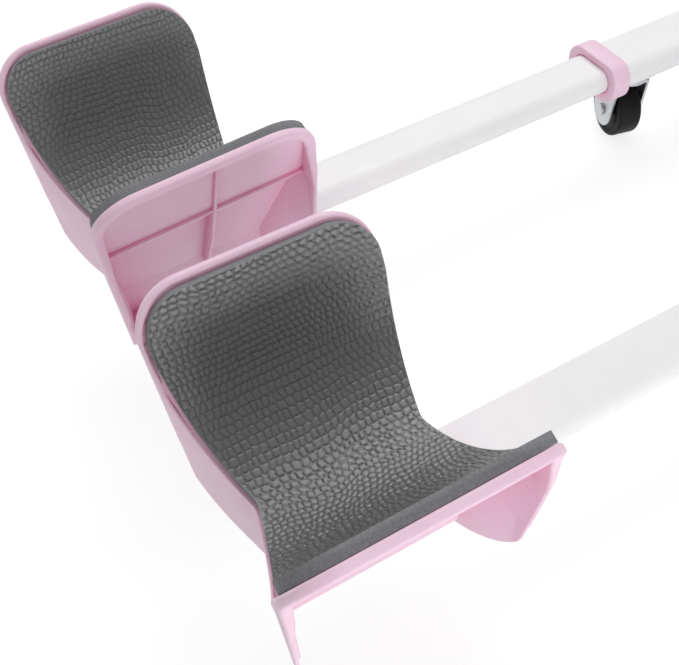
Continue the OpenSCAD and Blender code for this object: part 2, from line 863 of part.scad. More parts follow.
module between_ends(off, lean) {
  difference() {
    children();
    beyond_end(off, lean);
    mirror([0, 1, 0]) beyond_end(off, lean);
  }
}

module cradle_pad(turn) {
  color([0.4, 0.4, 0.41]) at_cradle(turn) between_ends(0, 0) difference() {
    along_y(-pad_half - 10, pad_half + 10) difference() {
      trough_fill(pad_t);
      trough_fill(0);
    }
    wall_trim(pad_half, wall_length, pad_corner);
  }
}

module plate_outline() {
  run = rim_z - plate_low_z;
  cx = plate_low_half + plate_corner * tan(flare) - plate_corner / cos(flare);
  cz = plate_low_z + plate_corner;
  tx = cx + plate_corner * cos(flare);
  tz = cz - plate_corner * sin(flare);
  top_x = plate_low_half + (run + 10) * tan(flare);
  for (s = [-1, 1]) translate([s * cx, cz]) circle(plate_corner);
  polygon([
    [-cx, plate_low_z], [cx, plate_low_z], [tx, tz], [top_x, rim_z + 10],
    [-top_x, rim_z + 10], [-tx, tz]
  ]);
}

module end_plates() {
  difference() {
    between_ends(plate_beyond, plate_lean) along_y(-pad_half - 20, pad_half + 20) plate_outline();
    between_ends(plate_beyond - plate_t, plate_lean)
      translate([-far, -pad_half - 20, 0]) cube([2 * far, 2 * pad_half + 40, 2 * far]);
    trough_space(0.5);
  }
}

module trough_wall() {
  between_ends(plate_beyond, plate_lean) along_y(-pad_half - 20, pad_half + 20) difference() {
    trough_fill(back_d);
    trough_fill(seat_d);
  }
}

module rim(s) {
  half = pad_half + plate_beyond;
  top = wall_length + rim_beyond;
  on_wall(s) translate([0, 0, seat_d]) linear_extrude(rim_d) difference() {
    wall_shape(half, top, rim_corner);
    wall_shape(half - rim_h, top - rim_h, rim_corner - rim_h);
    translate([-far, -far]) square([2 * far, far]);
  }
}

function wall_point(w, n) = [
  wall_start + w * cos(trough_angle) + n * sin(trough_angle),
  trough_z - trough_r * cos(trough_angle) + w * sin(trough_angle) - n * cos(trough_angle)
];

module on_side(s, y0, y1) {
  mirror([s < 0 ? 1 : 0, 0, 0]) along_y(y0, y1) difference() {
    children();
    trough_fill(seat_d + 1);
  }
}

module side_panel(s) {
  foot = bay_half + s * cradle_inset;
  meet = [(trough_r + back_d) * sin(bay_angle), trough_z - (trough_r + back_d) * cos(bay_angle)];
  on_side(s, -pad_half - 20, pad_half + 20) polygon([
    meet, [foot, inner_top], [foot, plate_low_z + 6], [foot - shell_t + 0.5, plate_low_z + 6],
    [foot - shell_t + 0.5, inner_top + 1], [meet[0] - shell_t, meet[1] + 6]
  ]);
}

module wall_ribs(s) {
  top = wall_length + rim_beyond - rim_h + 1;
  foot = bay_half + s * cradle_inset;
  on_side(s, rib_shift - rib_t / 2, rib_shift + rib_t / 2) polygon([
    wall_point(top, seat_d), wall_point(top, rib_out), wall_point(-bay_half - wall_length / 2, rib_out),
    [foot + rib_t, inner_top - inner_h / 2], [foot - 1, inner_top - inner_h / 2], [foot - 1, inner_top],
    [(trough_r + seat_d) * sin(bay_angle), trough_z - (trough_r + seat_d) * cos(bay_angle)]
  ]);
  low = wall_length - rib_down;
  on_side(s, -pad_half - 20, pad_half + 20) polygon([
    wall_point(low - rib_t / 2, seat_d), wall_point(low - rib_t / 2, rib_out),
    wall_point(low + rib_t / 2, rib_out), wall_point(low + rib_t / 2, seat_d)
  ]);
}

module cradle_bosses(turn) {
  difference() {
    along_arm(turn) for (x = [-1, 1]) for (y = [-1, 1])
      translate([x * screw_x, y * screw_y, bracket_top])
        cylinder(h = 40, r = screw_d / 2 + 4);
    trough_space(seat_d + 1);
  }
}

module cradle_shell(turn) {
  color([0.95, 0.75, 0.84]) at_cradle(turn) difference() {
    union() {
      end_plates();
      trough_wall();
      for (s = [-1, 1]) rim(s);
      between_ends(plate_beyond - 0.5, plate_lean) for (s = [-1, 1]) {
        side_panel(s);
        wall_ribs(s);
      }
      cradle_bosses(turn);
    }
    wall_trim(pad_half + plate_beyond, wall_length + rim_beyond, rim_corner);
    along_arm(turn) along_y(0, far) {
      translate([0, arm_height]) flat_oval(inner_w + 2 * gap, inner_h + 2 * gap);
      translate([-inner_w / 2 - gap, 0]) square([inner_w + 2 * gap, arm_height]);
    }
    along_arm(turn) for (x = [-1, 1]) for (y = [-1, 1])
      translate([x * screw_x, y * screw_y, bracket_top - 1])
        cylinder(h = 9.5, r = screw_d / 2 + fit);
  }
}

module cradle_bracket() {
  color([0.93, 0.93, 0.94]) translate([0, -arm_reach, 0]) difference() {
    along_y(-bracket_l / 2, bracket_l / 2) difference() {
      translate([-bracket_w / 2, inner_top]) square([bracket_w, bracket_h]);
      translate([-bracket_w / 2 + bracket_wall, inner_top + bracket_wall])
        square([bracket_w - 2 * bracket_wall, bracket_h - 2 * bracket_wall]);
    }
    for (x = [-1, 1]) for (y = [-1, 1])
      translate([x * screw_x, y * screw_y, bracket_top - 10]) cylinder(h = 20, r = screw_d / 2 + fit);
  }
}

module cradle_screws() {
  color([0.75, 0.76, 0.78]) translate([0, -arm_reach, 0])
    for (x = [-1, 1]) for (y = [-1, 1]) translate([x * screw_x, y * screw_y, bracket_top - bracket_wall]) {
      translate([0, 0, -3]) cylinder(h = 3, r = screw_d / 2 + 2);
      translate([0, 0, -1]) cylinder(h = bracket_wall + 9, r = screw_d / 2);
    }
}

// Caster, turned about its swivel axis
module at_caster() {
  translate([0, -caster_reach, 0]) rotate([0, 0, caster_turn]) children();
}

module at_axle() {
  at_caster() translate([caster_trail, 0, wheel_r]) rotate([90, 0, 0]) children();
}

module caster_plate() {
  color([0.75, 0.76, 0.78]) translate([0, -caster_reach, 0]) {
    translate([0, 0, caster_z]) linear_extrude(outer_low - caster_z)
      rounded_rect(caster_plate_w, caster_plate_w, 6);
    translate([0, 0, race_z]) cylinder(h = caster_z - race_z + 1, r = 19);
    translate([0, 0, crown_z - fork_t - gap - 2]) cylinder(h = race_z - crown_z + fork_t + gap + 3, r = 5);
    translate([0, 0, crown_z - fork_t - gap - 2]) cylinder(h = 2, r = 8);
  }
}

module caster_fork() {
  color([0.75, 0.76, 0.78]) difference() {
    union() {
      at_caster() translate([-18, -leg_out, crown_z - fork_t]) cube([36, 2 * leg_out, fork_t]);
      for (s = [-1, 1]) at_caster() translate([0, s * (leg_in + fork_t / 2) + fork_t / 2, 0])
        rotate([90, 0, 0]) linear_extrude(fork_t) {
          translate([caster_trail, wheel_r]) circle(fork_leg_w / 2);
          polygon([
            [caster_trail - fork_leg_w / 2, wheel_r], [caster_trail + fork_leg_w / 2, wheel_r],
            [18, crown_z], [-18, crown_z]
          ]);
        }
    }
    translate([0, -caster_reach, crown_z - fork_t - 1]) cylinder(h = fork_t + 2, r = 5 + gap);
    at_axle() translate([0, 0, -far]) cylinder(h = 2 * far, r = wheel_axle_d / 2 + fit);
  }
}

module caster_axle() {
  color([0.75, 0.76, 0.78]) at_axle() {
    translate([0, 0, -leg_out - 3]) cylinder(h = 2 * leg_out + 6, r = wheel_axle_d / 2);
    translate([0, 0, leg_out]) cylinder(h = 3, r = 6);
    translate([0, 0, -leg_out - 4]) cylinder(h = 4, r = 7, $fn = 6);
  }
}

module caster_hub() {
  color([0.3, 0.3, 0.31]) at_axle() difference() {
    union() {
      translate([0, 0, -wheel_w / 2 + 1]) cylinder(h = wheel_w - 2, r = wheel_hub_d / 2);
      translate([0, 0, -leg_in + gap]) cylinder(h = 2 * leg_in - 2 * gap, r = wheel_axle_d / 2 + 4);
    }
    translate([0, 0, -leg_in]) cylinder(h = 2 * leg_in, r = wheel_axle_d / 2 + fit);
  }
}

module caster_tyre() {
  color([0.1, 0.1, 0.1]) at_axle() rotate_extrude() {
    translate([wheel_hub_d / 2 + fit, -wheel_w / 2])
      square([wheel_r - tyre_round - wheel_hub_d / 2 - fit, wheel_w]);
    translate([wheel_r - tyre_round - 1, -wheel_w / 2 + tyre_round])
      square([tyre_round + 1, wheel_w - 2 * tyre_round]);
    for (s = [-1, 1]) translate([wheel_r - tyre_round, s * (wheel_w / 2 - tyre_round)])
      circle(tyre_round);
  }
}
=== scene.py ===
import json
import math
import random
import bpy
import numpy as np
from mathutils import Matrix, Vector, kdtree


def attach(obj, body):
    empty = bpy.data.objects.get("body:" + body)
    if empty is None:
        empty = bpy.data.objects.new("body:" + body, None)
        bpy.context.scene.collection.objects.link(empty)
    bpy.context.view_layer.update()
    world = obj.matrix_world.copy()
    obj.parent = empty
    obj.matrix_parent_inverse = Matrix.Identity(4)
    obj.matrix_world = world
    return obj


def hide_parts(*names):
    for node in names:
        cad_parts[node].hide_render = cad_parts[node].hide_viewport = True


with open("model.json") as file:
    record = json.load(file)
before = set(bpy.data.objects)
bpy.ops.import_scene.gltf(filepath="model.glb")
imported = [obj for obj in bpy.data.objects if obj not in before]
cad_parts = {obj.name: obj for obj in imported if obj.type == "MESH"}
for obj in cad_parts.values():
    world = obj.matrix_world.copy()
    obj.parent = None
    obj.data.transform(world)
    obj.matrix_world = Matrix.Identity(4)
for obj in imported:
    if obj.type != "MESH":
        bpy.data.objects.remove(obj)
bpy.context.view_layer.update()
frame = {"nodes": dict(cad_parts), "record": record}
bpy.ops.object.select_all(action="DESELECT")
mm = 0.001
sides = {"left": -1, "right": 1}
scene = bpy.context.scene
scene.view_settings.view_transform = "Standard"

cameraView = {"place": (0.401907, -1.013571, 0.625958), "yaw": 1.136276, "pitch": 0.886149, "roll": -0.093406,
              "lens": 46.873, "sensor": 36, "farEnd": 50}


def placeCamera():
    yaw, pitch, roll = cameraView["yaw"], cameraView["pitch"], cameraView["roll"]
    back = Vector((math.sin(yaw) * math.cos(pitch), -math.cos(yaw) * math.cos(pitch), math.sin(pitch)))
    right = Vector((math.cos(yaw), math.sin(yaw), 0))
    up = back.cross(right)
    side = right * math.cos(roll) + up * math.sin(roll)
    top = up * math.cos(roll) - right * math.sin(roll)
    data = bpy.data.cameras.new("photoCamera")
    data.sensor_fit = "HORIZONTAL"
    data.sensor_width = cameraView["sensor"]
    data.lens = cameraView["lens"]
    data.clip_end = cameraView["farEnd"]
    camera = bpy.data.objects.new("photoCamera", data)
    scene.collection.objects.link(camera)
    facing = Matrix((side, top, back)).transposed().to_4x4()
    camera.matrix_world = Matrix.Translation(cameraView["place"]) @ facing
    scene.camera = camera


placeCamera()
print("camera placed")


def linearColour(text):
    parts = [int(text[i:i + 2], 16) / 255 for i in (1, 3, 5)]
    return tuple(p / 12.92 if p <= 0.04045 else ((p + 0.055) / 1.055) ** 2.4 for p in parts) + (1.0,)


def addNode(tree, kind, settings={}, links={}):  # a node with its settings and the sockets that feed it
    node = tree.nodes.new("ShaderNode" + kind)
    for key, value in settings.items():
        if isinstance(key, int) or key in node.inputs:
            node.inputs[key].default_value = value
        else:
            setattr(node, key, value)
    for key, source in links.items():
        tree.links.new(source, node.inputs[key])
    return node


def startMaterial(name, settings):
    material = bpy.data.materials.new(name)
    material.use_nodes = True
    tree = material.node_tree
    tree.nodes.clear()
    shader = addNode(tree, "BsdfPrincipled", settings)
    addNode(tree, "OutputMaterial", {}, {"Surface": shader.outputs["BSDF"]})
    coords = addNode(tree, "TexCoord").outputs["Object"]
    return material, tree, shader, coords


def mottled(tree, shader, coords, first, second, size):  # soft change between two near colours
    noise = addNode(tree, "TexNoise", {"Scale": 1 / size, "Detail": 3.0}, {"Vector": coords})
    spread = addNode(tree, "MapRange", {"From Min": 0.35, "From Max": 0.65}, {"Value": noise.outputs["Fac"]})
    mix = addNode(tree, "Mix", {"data_type": "RGBA", 6: linearColour(first), 7: linearColour(second)},
                  {0: spread.outputs["Result"]})
    tree.links.new(mix.outputs[2], shader.inputs["Base Color"])
    return mix.outputs[2]


def roughened(tree, shader, coords, low, high, size):
    noise = addNode(tree, "TexNoise", {"Scale": 1 / size, "Detail": 4.0}, {"Vector": coords})
    spread = addNode(tree, "MapRange", {"From Min": 0.3, "From Max": 0.7, "To Min": low, "To Max": high},
                     {"Value": noise.outputs["Fac"]})
    tree.links.new(spread.outputs["Result"], shader.inputs["Roughness"])


def bumped(tree, shader, coords, size, depth):
    noise = addNode(tree, "TexNoise", {"Scale": 1 / size, "Detail": 2.0}, {"Vector": coords})
    bump = addNode(tree, "Bump", {"Strength": 1.0, "Distance": depth}, {"Height": noise.outputs["Fac"]})
    tree.links.new(bump.outputs["Normal"], shader.inputs["Normal"])


def powderCoatMaterial():  # white polyester powder coat on steel tube: satin, with a faint orange peel
    material, tree, shader, coords = startMaterial("powderCoatWhite", {"Roughness": 0.5, "IOR": 1.5})
    mottled(tree, shader, coords, "#ECECED", "#EFEFF0", 60 * mm)
    roughened(tree, shader, coords, 0.45, 0.56, 25 * mm)
    bumped(tree, shader, coords, 1.6 * mm, 0.03 * mm)
    return material


def absMaterial():  # moulded, finely spark-eroded ABS with a soft sheen, and painted shade: a deeper pink painted into recesses where faces hide each other
    material, tree, shader, coords = startMaterial("mouldedAbsPink", {"Roughness": 0.48, "IOR": 1.53})
    pale = mottled(tree, shader, coords, "#EAC8DA", "#ECCCDD", 40 * mm)
    # painted shade: an ambient occlusion mask mixes the base colour towards a deeper pink #EE9FBF in recesses
    paintedShadeOcclusion = addNode(tree, "AmbientOcclusion", {"samples": 6, "Distance": 70 * mm})
    depth = addNode(tree, "MapRange", {"From Min": 0.8, "From Max": 0.25}, {"Value": paintedShadeOcclusion.outputs["AO"]})
    mix = addNode(tree, "Mix", {"data_type": "RGBA", 7: linearColour("#EE9FBF")},
                  {0: depth.outputs["Result"], 6: pale})
    tree.links.new(mix.outputs[2], shader.inputs["Base Color"])
    roughened(tree, shader, coords, 0.43, 0.54, 12 * mm)
    bumped(tree, shader, coords, 0.5 * mm, 0.008 * mm)
    return material


def foamMaterial():  # closed-cell EVA foam, pressed with a reptile grain: a dull sheen, with painted shade darkening the grooves between scales
    material, tree, shader, coords = startMaterial(
        "evaFoamGrey", {"Roughness": 0.46, "IOR": 1.6, "Specular IOR Level": 1.0})
    scaleTop = addNode(tree, "Attribute", {"attribute_name": "scaleTop"})
    noise = addNode(tree, "TexNoise", {"Scale": 1 / (18 * mm), "Detail": 3.0}, {"Vector": coords})
    tone = addNode(tree, "Mix", {"data_type": "RGBA", 6: linearColour("#585959"), 7: linearColour("#616262")},
                   {0: noise.outputs["Fac"]})
    # painted shade: the grooves, where scaleTop is low, are painted a darker grey #3E3F3F
    mix = addNode(tree, "Mix", {"data_type": "RGBA", 6: linearColour("#3E3F3F")},
                  {0: scaleTop.outputs["Fac"], 7: tone.outputs[2]})
    tree.links.new(mix.outputs[2], shader.inputs["Base Color"])
    bumped(tree, shader, coords, 0.5 * mm, 0.02 * mm)
    return material


def foamEdgeMaterial():  # the same foam where it is cut: fine open pores
    material, tree, shader, coords = startMaterial("evaFoamCutEdge", {"Roughness": 0.85, "IOR": 1.45})
    mottled(tree, shader, coords, "#75777A", "#868789", 1.2 * mm)
    bumped(tree, shader, coords, 0.7 * mm, 0.05 * mm)
    return material


def plainMaterial(name, first, second, roughness, metallic=0.0, grain=1.0 * mm, depth=0.02 * mm, gloss=0.5):
    material, tree, shader, coords = startMaterial(name, {"Metallic": metallic, "Specular IOR Level": gloss})
    mottled(tree, shader, coords, first, second, 22 * mm)
    roughened(tree, shader, coords, roughness - 0.05, roughness + 0.07, 9 * mm)
    bumped(tree, shader, coords, grain, depth)
    return material


powderCoat = powderCoatMaterial()
pinkAbs = absMaterial()
foamFace = foamMaterial()
foamCut = foamEdgeMaterial()
zincPlate = plainMaterial("zincPlatedSteel", "#C3C6C9", "#CDD0D2", 0.42, 1.0)  # thin bright zinc
tyreRubber = plainMaterial("blackTyreRubber", "#0E0F10", "#141516", 0.5, gloss=0.2)  # moulded, a faint shine
nylonBlack = plainMaterial("blackNylon", "#1B1B1C", "#222223", 0.4)  # moulded polyamide
# a sleeve of foam rubber, dull and open-pored
gripRubber = plainMaterial("gripFoamRubber", "#232324", "#2B2B2C", 0.7, grain=0.8 * mm, depth=0.06 * mm)
gearSteel = plainMaterial("oiledGearSteel", "#8C8E90", "#9A9C9E", 0.32, 1.0)  # cut steel, a film of grease
bushBronze = plainMaterial("sinterBronze", "#B08D4F", "#BD9A5C", 0.4, 1.0)  # sintered bearing bronze
print("materials made")


def selectOnly(obj):
    bpy.ops.object.select_all(action="DESELECT")
    obj.select_set(True)
    bpy.context.view_layer.objects.active = obj


def setMaterial(obj, *materials):
    obj.data.materials.clear()
    for material in materials:
        obj.data.materials.append(material)


slotMaterial = {"white_powder_coat": powderCoat, "pink_plastic": pinkAbs, "grey_foam": foamCut,
                "zinc_steel": zincPlate, "black_rubber": gripRubber, "black_plastic": nylonBlack,
                "gear_steel": gearSteel, "bronze": bushBronze, "tyre_rubber": tyreRubber}
nodeSlot = {entry["node"]: entry["material_slot"] for entry in frame["record"]["subparts"]}
nodeBody = {node: body for body, nodes in frame["record"]["behaviour"]["bodies"].items() for node in nodes}
for nodeName, node in frame["nodes"].items():
    setMaterial(node, slotMaterial[nodeSlot[nodeName]])


def pieceName(nodeName):  # guide_collar_left becomes guideCollarLeft
    words = nodeName.split("_")
    return words[0] + "".join(word.capitalize() for word in words[1:])


def standFor(piece, nodeName):  # the piece takes the place and the body of a CAD node
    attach(piece, nodeBody[nodeName])
    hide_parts(nodeName)


def newPiece(name, points, edges, faces):  # a piece from its points in mm
    mesh = bpy.data.meshes.new(name)
    mesh.from_pydata([(x * mm, y * mm, z * mm) for x, y, z in points], edges, faces)
    piece = bpy.data.objects.new(name, mesh)
    scene.collection.objects.link(piece)
    selectOnly(piece)
    return piece


def readPoints(obj):
    co = np.empty(len(obj.data.vertices) * 3)
    obj.data.vertices.foreach_get("co", co)
    return co.reshape(-1, 3)


def faceOutwards():  # turns the faces of the selected piece the right way
    bpy.ops.object.mode_set(mode="EDIT")
    bpy.ops.mesh.select_all(action="SELECT")
    bpy.ops.mesh.normals_make_consistent(inside=False)
    bpy.ops.object.mode_set(mode="OBJECT")


def joinPieces(pieces):
    bpy.ops.object.select_all(action="DESELECT")
    for piece in pieces:
        piece.select_set(True)
    bpy.context.view_layer.objects.active = pieces[0]
    bpy.ops.object.join()
    return bpy.context.object


def roundEdges(obj, width, segments, angle=30, clamp=False):
    selectOnly(obj)
    bevel = obj.modifiers.new("round", "BEVEL")
    bevel.width = width * mm
    bevel.segments = segments
    bevel.limit_method = "ANGLE"
    bevel.angle_limit = math.radians(angle)
    bevel.use_clamp_overlap = clamp
    bpy.ops.object.modifier_apply(modifier="round")


def ramp(value, start, run):  # 0 up to start, 1 from start + run on, straight between them
    return min(max((value - start) / run, 0), 1)


def eased(share):  # the same share with soft ends
    return share * share * (3 - 2 * share)


# the leg cradle pads
cradle = {"armX": 148.5, "inset": 4.7, "reach": 900, "turn": {-1: 3, 1: 0}, "troughZ": 234.7, "troughR": 75.8,
          "angle": 66.4, "wall": 55.6, "half": 77.3, "waist": 57.1, "waistSlope": 0.2698, "waistRound": 3,
          "corner": 30, "thick": 7, "step": 0.8, "nearRise": (20, 60), "nearRear": {-1: 0.13, 1: 0.075}}
troughAngle = math.radians(cradle["angle"])
troughArc = troughAngle * cradle["troughR"]
padReach = troughArc + cradle["wall"]  # arc length from the middle of the trough to the top of a wall


def troughPoint(s, away):  # a point at arc length s across the trough, away below the pad surface
    turn = max(-troughAngle, min(troughAngle, s / cradle["troughR"]))
    radius = cradle["troughR"] + away
    extra = max(abs(s) - troughArc, 0)
    x = radius * math.sin(turn) + math.copysign(extra * math.cos(troughAngle), s)
    z = cradle["troughZ"] - radius * math.cos(turn) + extra * math.sin(troughAngle)
    return x, z


def padRow(share):  # arc length of a row, with the rows of a rounded corner spread evenly along its edge
    r = cradle["corner"]
    straight, curve = padReach - r, r * math.pi / 2
    run = abs(share) * (straight + curve)
    if run > straight:
        run = straight + r * math.sin((run - straight) / r)
    return math.copysign(run, share)


def waistHalf(x):  # half length at x across the cradle, least at the bottom of the trough
    return min(cradle["waist"] + cradle["waistSlope"] * x, cradle["half"])


def padHalfLength(s):
    half = waistHalf(math.hypot(troughPoint(s, 0)[0], cradle["waistRound"]))
    over = abs(s) - (padReach - cradle["corner"])
    if over > 0:
        half = cradle["half"] - cradle["corner"] + math.sqrt(max(cradle["corner"] ** 2 - over ** 2, 0))
    return half


def rearStretch(near, sign):  # the wall on the near side runs a little further to the rear than the far one
    return 1 + cradle["nearRear"][sign] * eased(ramp(near, *cradle["nearRise"]))


# the embossed scales: sizes in mm, with the reach of their rows across and along the pad
grain = {"rowHeight": 5.2, "rowSpread": 1.1, "thinScale": 3.2, "wideScale": 7.2, "loose": 0.5, "groove": 0.08,
         "shoulder": 0.7, "crown": 2.4, "depth": 0.6, "across": 175.0, "along": 100.0, "sideRun": 70,
         "fade": 1.2}


def scaleSeeds(rng, phase):  # a point for each scale: wavy rows, with wider and narrower scales in them
    seeds = []
    low = -grain["across"]
    while low < grain["across"]:
        tall = grain["rowHeight"] + grain["rowSpread"] * math.sin(low / 24 + phase[4])
        tall *= rng.uniform(0.8, 1.22)
        thin = 0.5 + 0.5 * math.sin(low / 19 + phase[1])
        v = -grain["along"] - rng.uniform(0, 5)
        while v < grain["along"]:
            wide = rng.uniform(grain["thinScale"], grain["wideScale"] - 2 * thin)
            seeds.append((low + tall / 2 + rng.uniform(-1, 1) * grain["loose"], v + wide / 2, 0))
            v += wide
        low += tall
    return seeds


def reptileGrain(points, seed):  # share of height, 0 in a groove to 1 on a scale, for points (s, v) in mm
    rng = random.Random(seed)
    phase = [rng.uniform(0, 6.28) for _ in range(6)]
    s, v = points[:, 0], points[:, 1]
    wave = 3.6 * np.sin(v / 24 + phase[0])
    wave += 1.3 * np.sin(v / 9.5 + s / 30 + phase[1])
    wave += 0.5 * np.sin(v / 3.7 + s / 9 + phase[2])
    across = s + wave * (0.65 + 0.5 * np.sin(s / 37 + phase[3]))
    along = v + 1.3 * np.sin(s / 8 + phase[5]) + 0.5 * np.sin(s / 2.6 + v / 6)
    seeds = scaleSeeds(rng, phase)
    tree = kdtree.KDTree(len(seeds))
    for index, place in enumerate(seeds):
        tree.insert(place, index)
    tree.balance()
    toGroove = np.empty(len(points))
    for k in range(len(points)):
        (first, _, near), (second, _, far) = tree.find_n((across[k], along[k], 0), 2)
        toGroove[k] = (far * far - near * near) / (2 * max((first - second).length, 0.01))
    flank = np.clip((toGroove - grain["groove"]) / grain["shoulder"], 0, 1)
    return eased(flank) * 0.92 + 0.08 * np.clip(toGroove / grain["crown"], 0, 1)


# the pad's surface in mm: its plain grid, the arc length and run of each point, their places and normals
def padGrid(sign):
    r = cradle["corner"]
    rows = int(2 * (padReach - r + r * math.pi / 2) / cradle["step"])
    columns = int(2 * cradle["half"] / cradle["step"])
    bpy.ops.mesh.primitive_grid_add(x_subdivisions=rows, y_subdivisions=columns, size=2)
    pad = bpy.context.object
    grid = readPoints(pad)
    count = len(grid)
    flat, place, normal = np.empty((count, 2)), np.empty((count, 3)), np.empty((count, 3))
    for k in range(count):
        s = padRow(grid[k, 0])
        v = grid[k, 1] * padHalfLength(s)
        x, z = troughPoint(s, 0)
        lowX, lowZ = troughPoint(s, 1)
        if v > 0:
            v *= rearStretch(x, sign)
        flat[k] = (s, v)
        place[k] = (x, v, z)
        normal[k] = (x - lowX, 0, z - lowZ)
    return pad, grid, flat, place, normal


def makeCradlePad(sideName, sign, seed):
    pad, grid, flat, place, normal = padGrid(sign)
    pad.name = pieceName("cradle_pad_" + sideName)
    turn = math.radians(cradle["turn"][sign])
    spin = np.array(((math.cos(turn), math.sin(turn), 0), (-math.sin(turn), math.cos(turn), 0), (0, 0, 1)))
    place[:, 0] -= sign * cradle["inset"]
    place, normal = place @ spin, normal @ spin
    shift = np.array((sign * cradle["armX"], -cradle["reach"], 0))
    pad.data.vertices.foreach_set("co", ((place + shift) * mm).ravel())
    pad.data.update()
    setMaterial(pad, foamFace, foamCut)
    selectOnly(pad)
    thicken = pad.modifiers.new("thickness", "SOLIDIFY")
    thicken.thickness = cradle["thick"] * mm
    thicken.offset = -1
    thicken.use_even_offset = False
    thicken.use_rim = True
    thicken.material_offset_rim = 1
    bpy.ops.object.modifier_apply(modifier="thickness")
    height = reptileGrain(flat, seed)
    toEnd = padReach - np.abs(flat[:, 0])
    toSide = (1 - np.abs(grid[:, 1])) * grain["sideRun"]
    edgeFade = np.clip(np.minimum(toEnd, toSide) / grain["fade"], 0, 1)  # the scales run out at the cut edge
    count = len(grid)
    after = readPoints(pad)
    lift = (height - 1) * grain["depth"] * edgeFade
    after[:count] += normal * (lift * mm)[:, None]
    pad.data.vertices.foreach_set("co", after.ravel())
    # the scaleTop share also sets the painted shade in the grooves of the foam's colour
    mark = pad.data.attributes.new("scaleTop", "FLOAT", "POINT")
    values = np.ones(len(after), np.float32)
    values[:count] = 1 - (1 - height) * edgeFade
    mark.data.foreach_set("value", values)
    faceOutwards()
    bpy.ops.object.shade_smooth_by_angle(angle=math.radians(50))
    standFor(pad, "cradle_pad_" + sideName)


makeCradlePad("left", -1, 11)
makeCradlePad("right", 1, 23)
print("cradle pads made")

# the leg cradle shells
shell = {"rimWidth": 7.5, "rimDepth": 6.7, "rimBack": 7.3, "rimBeyond": 3.6, "rimFar": 5.8, "rimCorner": 35,
         "rimRound": 2.1, "rimFoot": -62, "outlineRise": (2, 44), "legRise": (-14, 40), "legWidth": 4.6,
         "wall": 3, "plate": 2.5, "beyond": 4.05, "beyondRear": 1.3, "lean": 1.45, "leanFrom": 207,
         "lowHalf": 77.1, "topHalf": 101.3, "low": 73.1, "top": 255.3, "lowCorner": 47, "cornerInset": 0.5,
         "sideRise": (-20, 20), "underPad": 0.4, "plateTop": 24, "plateFoot": -40, "plateInset": 0.3,
         "topInset": 0.7, "topRise": (188, 16), "edgeRound": 0.9, "tubeWidth": 50.6, "tubeTop": 107.3,
         "tubeRound": 12.8, "armTop": 107, "armMiddle": 94.5, "endGap": 1.2}
ribs = {"thick": 2.4, "down": 64.6, "out": 13, "back": 9.4, "longBack": 8.6, "shift": 9, "top": 51,
        "foot": -56.3, "round": 0.8}
bay = {"half": 33, "angle": 44, "low": 79.1, "back": 10.3, "thick": 2.5, "length": 160, "round": 0.7}
lip = {"inner": 26, "outer": 52, "low": 78.2, "high": 81, "depth": 16, "behind": 1, "round": 0.7}
boss = {"r": 7, "height": 16, "x": 12, "y": 30, "low": 140, "round": 0.6}
flare = (shell["topHalf"] - shell["lowHalf"]) / (shell["top"] - shell["low"])


def outlineHalf(z):
    return shell["lowHalf"] + (z - shell["low"]) * flare


def wallPoint(w, n):  # a point w up the straight wall and n behind the pad surface, in cross-section
    x = cradle["troughR"] * math.sin(troughAngle) + w * math.cos(troughAngle) + n * math.sin(troughAngle)
    z = cradle["troughZ"] - cradle["troughR"] * math.cos(troughAngle)
    return x, z + w * math.sin(troughAngle) - n * math.cos(troughAngle)


def backPoint(angle, away):  # a point on the round of the trough, away behind the pad surface
    radius = cradle["troughR"] + away
    turn = math.radians(angle)
    return radius * math.sin(turn), cradle["troughZ"] - radius * math.cos(turn)


def depthToOutline(w):  # how far behind the pad surface the end plate's side edge lies, at w up the wall
    low, high = 5.0, 60.0
    for _ in range(30):
        middle = (low + high) / 2
        x, z = wallPoint(w, middle)
        low, high = (middle, high) if x < outlineHalf(z) else (low, middle)
    return low


def rimOuter(w):  # how far behind the pad surface the outer edge of rim and end plate lies
    near = shell["rimBack"] + shell["rimDepth"]
    return near + eased(1 - ramp(w, *shell["outlineRise"])) * (depthToOutline(w) - near)


def beyondPad(rear):  # how far the shell reaches past the end of the pad
    return shell["beyondRear"] if rear else shell["beyond"]


def leanAt(z):  # how far an end plate leans out at a height
    return (z - shell["leanFrom"]) * math.tan(math.radians(shell["lean"]))


def endOffset(x, z, rear):  # how far the outer face of an end plate lies from the cradle's middle
    return waistHalf(abs(x)) + beyondPad(rear) + leanAt(z)


def lowCorners():  # the rounded lower corner of an end plate on its right, from the side to the bottom
    lean = math.atan(flare)
    r = shell["lowCorner"] - shell["cornerInset"]
    cx = shell["lowHalf"] + shell["lowCorner"] * math.tan(lean) - shell["lowCorner"] / math.cos(lean)
    cz = shell["low"] + shell["lowCorner"]
    return [(cx + r * math.cos(t), cz + r * math.sin(t)) for t in np.linspace(-lean, -math.pi / 2, 14)]


def tubeNotch():  # the cut-out of the rear plate over the arm tube, from left to right
    left, right = (cradle["inset"] + end * shell["tubeWidth"] / 2 for end in (-1, 1))
    r = shell["tubeRound"]
    high = shell["tubeTop"] - r
    notch = [(left, shell["low"]), (left, high)]
    notch += [(left + r - r * math.cos(t), high + r * math.sin(t)) for t in np.linspace(0.2, math.pi / 2, 7)]
    notch += [(right - r + r * math.sin(t), high + r * math.cos(t)) for t in np.linspace(0, math.pi / 2, 8)]
    return notch + [(right, shell["low"])]


def solidFromOutline(points, thick):  # a flat piece standing in the XZ plane, from y = 0 back to y = -thick
    solid = newPiece("outline", [(x, 0, z) for x, z in points], [], [list(range(len(points)))])
    bpy.ops.object.mode_set(mode="EDIT")
    bpy.ops.mesh.select_all(action="SELECT")
    bpy.ops.mesh.extrude_region_move(TRANSFORM_OT_translate={"value": (0, -thick * mm, 0)})
    bpy.ops.object.mode_set(mode="OBJECT")
    faceOutwards()
    return solid


